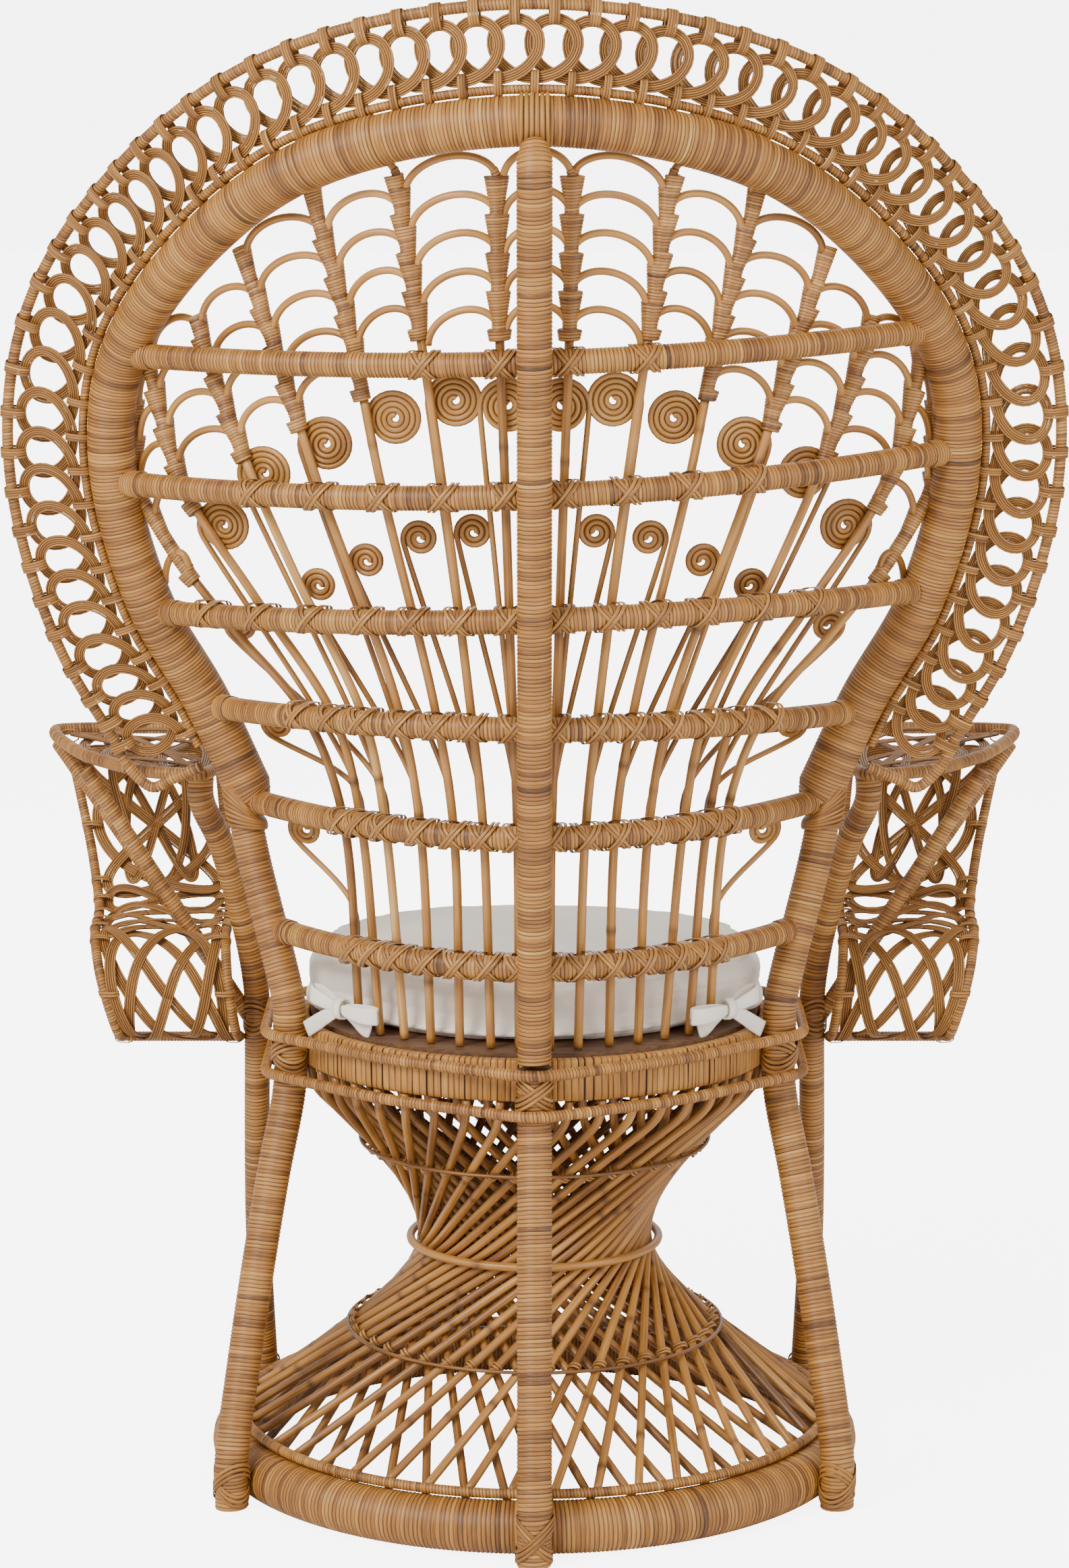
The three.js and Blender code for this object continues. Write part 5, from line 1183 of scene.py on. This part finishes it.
for sideName, turned in bothSides:
    top = newMesh()
    addWrap(top, turned(armFrameLine), arm["frame"] - 0.3, "hoop", 401, True, (0, 0, 1))
    topLace = newMesh(False)
    for row in topKnots:
        knot(topLace, topPlace, turned, *row)
    sideTies(top, topPlace, turned, (0.12, 0.5, 0.88))
    makePiece(top, f"armTop.{sideName}", "armFrame", f"arm_top_{sideName}")
    makePiece(topLace, f"armTopLace.{sideName}", "lace")
    panel = newMesh()
    panelFoot = evenly(np.array([panelOuter[-1], panelInner[-1]]), 6)
    for seed, line in enumerate((panelOuter, panelInner, panelFoot), 403):
        addWrap(panel, turned(line), arm["rod"] - 0.2, "thin", seed)
    lace = newMesh(False)
    for row in panelKnots:
        knot(lace, panelPlace, turned, *row)
    sideTies(panel, panelPlace, turned, panelTies)
    makePiece(panel, f"armPanel.{sideName}", "armFrame", f"arm_panel_{sideName}")
    makePiece(lace, f"armPanelLace.{sideName}", "lace")
    for name, (head, foot) in zip(("rear", "front"), braces):
        brace = newMesh()
        reach = unit(foot - head)
        line = evenly(np.array([head, foot - reach * arm["pole"] * 0.9]), 6)
        addWrap(brace, turned(line), arm["brace"] - 0.2, "hoop", 407 + (name == "rear"))
        makePiece(brace, f"armBrace.{name}.{sideName}", "wrapped", f"arm_brace_{name}_{sideName}")

print("board and cushion")
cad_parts["seat_deck"].data.materials[0] = stainedBoard
# folds are each one's share of the edge's height, how far it wanders and how often; seams are where the piping lies.
pad = {"inset": 0.5, "voxel": 5, "pressure": 4, "cap": 9, "lastFrame": 20, "taller": 1.13, "wider": 1.03,
       "piping": 2.6, "fold": 1.8, "folds": ((0.36, 0.03, 3), (0.56, 0.04, 2)), "seams": (0.14, 0.78), "radius": 240}


# Takes a modifier's result into a new mesh for the same object.
def applied(piece):
    graph = bpy.context.evaluated_depsgraph_get()
    data = bpy.data.meshes.new_from_object(piece.evaluated_get(graph), depsgraph=graph)
    piece.modifiers.clear()
    piece.data = data
    return data


def meshPoints(data):
    points = np.empty(len(data.vertices) * 3, np.float32)
    data.vertices.foreach_get("co", points)
    return points.reshape(-1, 3).astype(float)


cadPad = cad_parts["seat_cushion"]
padData = cadPad.data.copy()
padData.transform(cadPad.matrix_world)
cushion = bpy.data.objects.new("seatCushion", padData)
bpy.context.scene.collection.objects.link(cushion)
points = meshPoints(padData)
padLow, padHigh = points.min(0), points.max(0)
padMiddle = (padLow + padHigh) / 2
inset = 1 - 2 * pad["inset"] / 1000 / (padHigh - padLow)
points = padMiddle + (points - padMiddle) * (inset[0] * pad["wider"], inset[1], inset[2])
points[:, 2] = padLow[2] + 0.0015 + (points[:, 2] - points[:, 2].min()) * pad["taller"]
padData.vertices.foreach_set("co", points.astype(np.float32).reshape(-1))
remesh = cushion.modifiers.new("evenCloth", "REMESH")
remesh.mode = "VOXEL"
remesh.voxel_size = pad["voxel"] / 1000
start = meshPoints(applied(cushion))
air = cushion.modifiers.new("filling", "CLOTH")
air.settings.use_pressure = True
air.settings.uniform_pressure_force = pad["pressure"]
air.settings.effector_weights.gravity = 0
for number in range(1, pad["lastFrame"] + 1):
    bpy.context.scene.frame_set(number)
swollen = meshPoints(applied(cushion))
bpy.context.scene.frame_set(1)
move = swollen - start
size = np.linalg.norm(move, axis=1, keepdims=True)
move = move * np.minimum(1, pad["cap"] / 1000 / np.maximum(size, 1e-9))
swollen = start + move
swollen[:, 2] = np.maximum(swollen[:, 2], padLow[2] + 0.0005)
# Behind, the cushion leans on the spokes.
held = onBack(swollen[:, 0] * 1000, back["seat"] + 25, spokeLayer + spoke["tube"] + 1)[:, 1]
swollen[:, 1] = np.maximum(swollen[:, 1], (held + seatShift) / 1000)
cushion.data.vertices.foreach_set("co", swollen.astype(np.float32).reshape(-1))
finer = cushion.modifiers.new("finer", "SUBSURF")
finer.levels = finer.render_levels = 1
padData = applied(cushion)

# Soft folds run along the cushion's edge between its two piped seams.
points = meshPoints(padData)
normals = np.empty(len(points) * 3, np.float32)
padData.vertices.foreach_get("normal", normals)
normals = normals.reshape(-1, 3)
upright = np.clip(1 - np.abs(normals[:, 2]) * 1.6, 0, 1)
around = np.arctan2(points[:, 1] - padMiddle[1], points[:, 0] - padMiddle[0])
edgeTall = points[:, 2].max() - padLow[2]
folds = np.zeros(len(points))
for share, wander, turns in pad["folds"]:
    level = padLow[2] + edgeTall * (share + wander * np.sin(around * turns + share * 9))
    folds += np.exp(-((points[:, 2] - level) / 0.0022) ** 2) * (0.6 + 0.4 * np.sin(around * 5 + share * 20))
points -= normals * (folds * upright * pad["fold"] / 1000)[:, None]
padData.vertices.foreach_set("co", points.astype(np.float32).reshape(-1))

# The weave's own places: over the top and bottom by plan, along the edge by the way round.
corners = np.empty(len(padData.loops), np.int32)
padData.loops.foreach_get("vertex_index", corners)
faceNormals = np.empty(len(padData.polygons) * 3, np.float32)
padData.polygons.foreach_get("normal", faceNormals)
counts = np.empty(len(padData.polygons), np.int32)
padData.polygons.foreach_get("loop_total", counts)
flat = np.repeat(np.abs(faceNormals.reshape(-1, 3)[:, 2]) > 0.72, counts)
face = np.repeat(np.arange(len(counts)), counts)
place = points[corners] * 1000
turn = around[corners]
firstTurn = turn[np.searchsorted(face, np.arange(len(counts)))][face]
turn = firstTurn + (turn - firstTurn + math.pi) % (2 * math.pi) - math.pi
wound = np.stack([turn * pad["radius"], place[:, 2], place[:, 2] * 0], axis=-1)
weavePlaces = np.where(flat[:, None], place * (1, 1, 0), wound).astype(np.float32)
padData.attributes.new("grain", "FLOAT_VECTOR", "CORNER").data.foreach_set("vector", weavePlaces.reshape(-1))
padData.shade_smooth()
padData.materials.clear()
padData.materials.append(cotton)
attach(cushion, "root")
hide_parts("seat_cushion")

# Piping: a cloth-covered cord sewn in at both edges of the cushion's side.
surface = BVHTree.FromPolygons([Vector(v) for v in points], [tuple(f.vertices) for f in padData.polygons])
piping = newMesh()
for share in pad["seams"]:
    level = padLow[2] + edgeTall * share
    seamLine = []
    for degrees in np.arange(0, 360, 3):
        inward = -unit(polar(1, degrees, 0))
        hit = surface.ray_cast(Vector((*(padMiddle[:2] - inward[:2] * 0.5), level)), Vector(inward))[0]
        seamLine.append(np.array(hit) * 1000 - inward * pad["piping"] * 0.35 - (0, seatShift, 0))
    seamLine = np.array(seamLine + seamLine[:1])
    seamLine[:, 2] += 0.8 * np.sin(np.linspace(0, 8 * math.pi, len(seamLine)))
    seamLine = evenly(seamLine, 5)
    addRod(piping, seamLine, pad["piping"], 10, 0.5, (0, 0, 1), True)
makePiece(piping, "cushionPiping", "pad")

print("bows")
# thick is half of the tape's thickness; height and acrossShare place the knot on the back. Each row of a loop or an
# end is across, toward the viewer and up from the knot, before the scale.
tape = {
    "thick": 1.1, "height": 508, "acrossShare": 0.462, "scale": 1.25, "meanWidth": 0.0115, "inKnot": 50,
    "loops": [[(0, 3, 0), (14, 6, 4), (30, 5.5, 8), (36, 0, 9), (30, -4, 8), (12, -2, 3), (0, 0, 0)],
              [(0, 3, 0), (-14, 7, 0), (-34, 6, -1), (-41, 0, -1), (-34, -4, -1), (-12, -2, 0), (0, 0, 0)]],
    "loopWidths": (3.2, 5.5, 6.8, 7, 6.8, 5.5, 3.2),
    "ends": [[(0, 4, -2), (14, 5, -8), (28, 4, -16), (38, 5, -22)],
             [(0, -1, -2), (-12, -1, -6), (-24, 0, -12), (-32, 0, -15)]],
    "endWidths": (3.5, 6, 6.8, 6.8),
}


# A length of tape, narrow where the knot gathers it. Its face looks along up.
def addTape(mesh, places, widths, up):
    line = smoothed(places, 2.5)
    wide = np.interp(np.linspace(0, 1, len(line)), np.linspace(0, 1, len(widths)), widths)
    addRod(mesh, line, (tape["thick"], wide * tape["scale"]), 10, 0.5, up, power=0.6)
    return lengths(line)[-1]


for sideName, side in (("right", 1), ("left", -1)):
    bow = newMesh()
    knotPlace = onBack(side * tape["acrossShare"] * back["half"], tape["height"], spokeLayer - 13)
    slope = 2 * back["sag"] * side * tape["acrossShare"] * back["half"] / sideWidth(tape["height"]) ** 2
    right = unit(np.array((1, slope, 0)))
    toward = unit(np.cross(right, (0, 0, 1)))

    def bowPlaces(rows):
        return [knotPlace + (right * a * side + toward * b + np.array((0, 0, c))) * tape["scale"] for a, b, c in rows]

    total = 0
    # In a loop the tape goes out with its face to the viewer, turns round and comes back behind.
    for part in ("loop", "end"):
        for rows in tape[part + "s"]:
            total += addTape(bow, bowPlaces(rows), tape[part + "Widths"], toward)
    addLoop(bow, knotPlace + toward * 2, np.array((0, 0, 1.0)), toward, 9.8, 8.2, 12, 2.8, 0.5, 0.9, 20, 0.2)
    total += tape["inKnot"]
    bowPiece = makePiece(bow, f"cushionTie.{sideName}", "tie", f"cushion_tie_{sideName}")

print("floor and light")
# A matt white painted floor; seen directly it carries a light of its own, as a lit white sweep does.
studio = {"floorGlow": 5.7, "airLight": 0.9, "airSeen": 6.5}
floorMaterial, tree, shader = newMaterial("mattPaintedFloor")
speckle = addNode(tree, "ShaderNodeTexNoise", {"Scale": 3, "Detail": 3})
pale = addNode(tree, "ShaderNodeValToRGB", {"Fac": speckle.outputs["Fac"]})
setRamp(pale, [(0.3, "#F2F1EF"), (0.7, "#F6F5F3")])
tree.links.new(pale.outputs[0], shader.inputs["Base Color"])
shader.inputs["Roughness"].default_value = 0.9
shader.inputs["Emission Color"].default_value = linear("#FFFFFF")
seen = addNode(tree, "ShaderNodeLightPath").outputs["Is Camera Ray"]
glow = addNode(tree, "ShaderNodeMath", {0: seen, 1: studio["floorGlow"]}, operation="MULTIPLY").outputs[0]
tree.links.new(glow, shader.inputs["Emission Strength"])
floorData = bpy.data.meshes.new("studioFloor")
floorData.from_pydata([(-30, -30, 0), (30, -30, 0), (30, 30, 0), (-30, 30, 0)], [], [(0, 1, 2, 3)])
floorData.materials.append(floorMaterial)
floor = bpy.data.objects.new("studioFloor", floorData)
bpy.context.scene.collection.objects.link(floor)
floor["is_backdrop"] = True

world = bpy.data.worlds.new("studioAir")
bpy.context.scene.world = world
world.use_nodes = True
air = world.node_tree
seen = addNode(air, "ShaderNodeLightPath").outputs["Is Camera Ray"]
brightness = addNode(air, "ShaderNodeMapRange", {"Value": seen, "To Min": studio["airLight"],
                                                 "To Max": studio["airSeen"]}).outputs[0]
air.nodes["Background"].inputs[0].default_value = linear("#F7F7F8")
air.links.new(brightness, air.nodes["Background"].inputs[1])
for name, place, size, power in (
    ("keySoftbox", (-2.4, -3.2, 3.4), 1.8, 240), ("fillSoftbox", (3.2, -3.0, 2.2), 2.8, 85),
    ("frontSoftbox", (0.5, 3.6, 2.8), 3.2, 50),
):
    light = bpy.data.lights.new(name, "AREA")
    light.size = size
    light.energy = power
    lamp = bpy.data.objects.new(name, light)
    lamp.location = place
    lamp.rotation_euler = (Vector((0, 0, 0.8)) - Vector(place)).to_track_quat("-Z", "Y").to_euler()
    bpy.context.scene.collection.objects.link(lamp)

low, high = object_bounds()
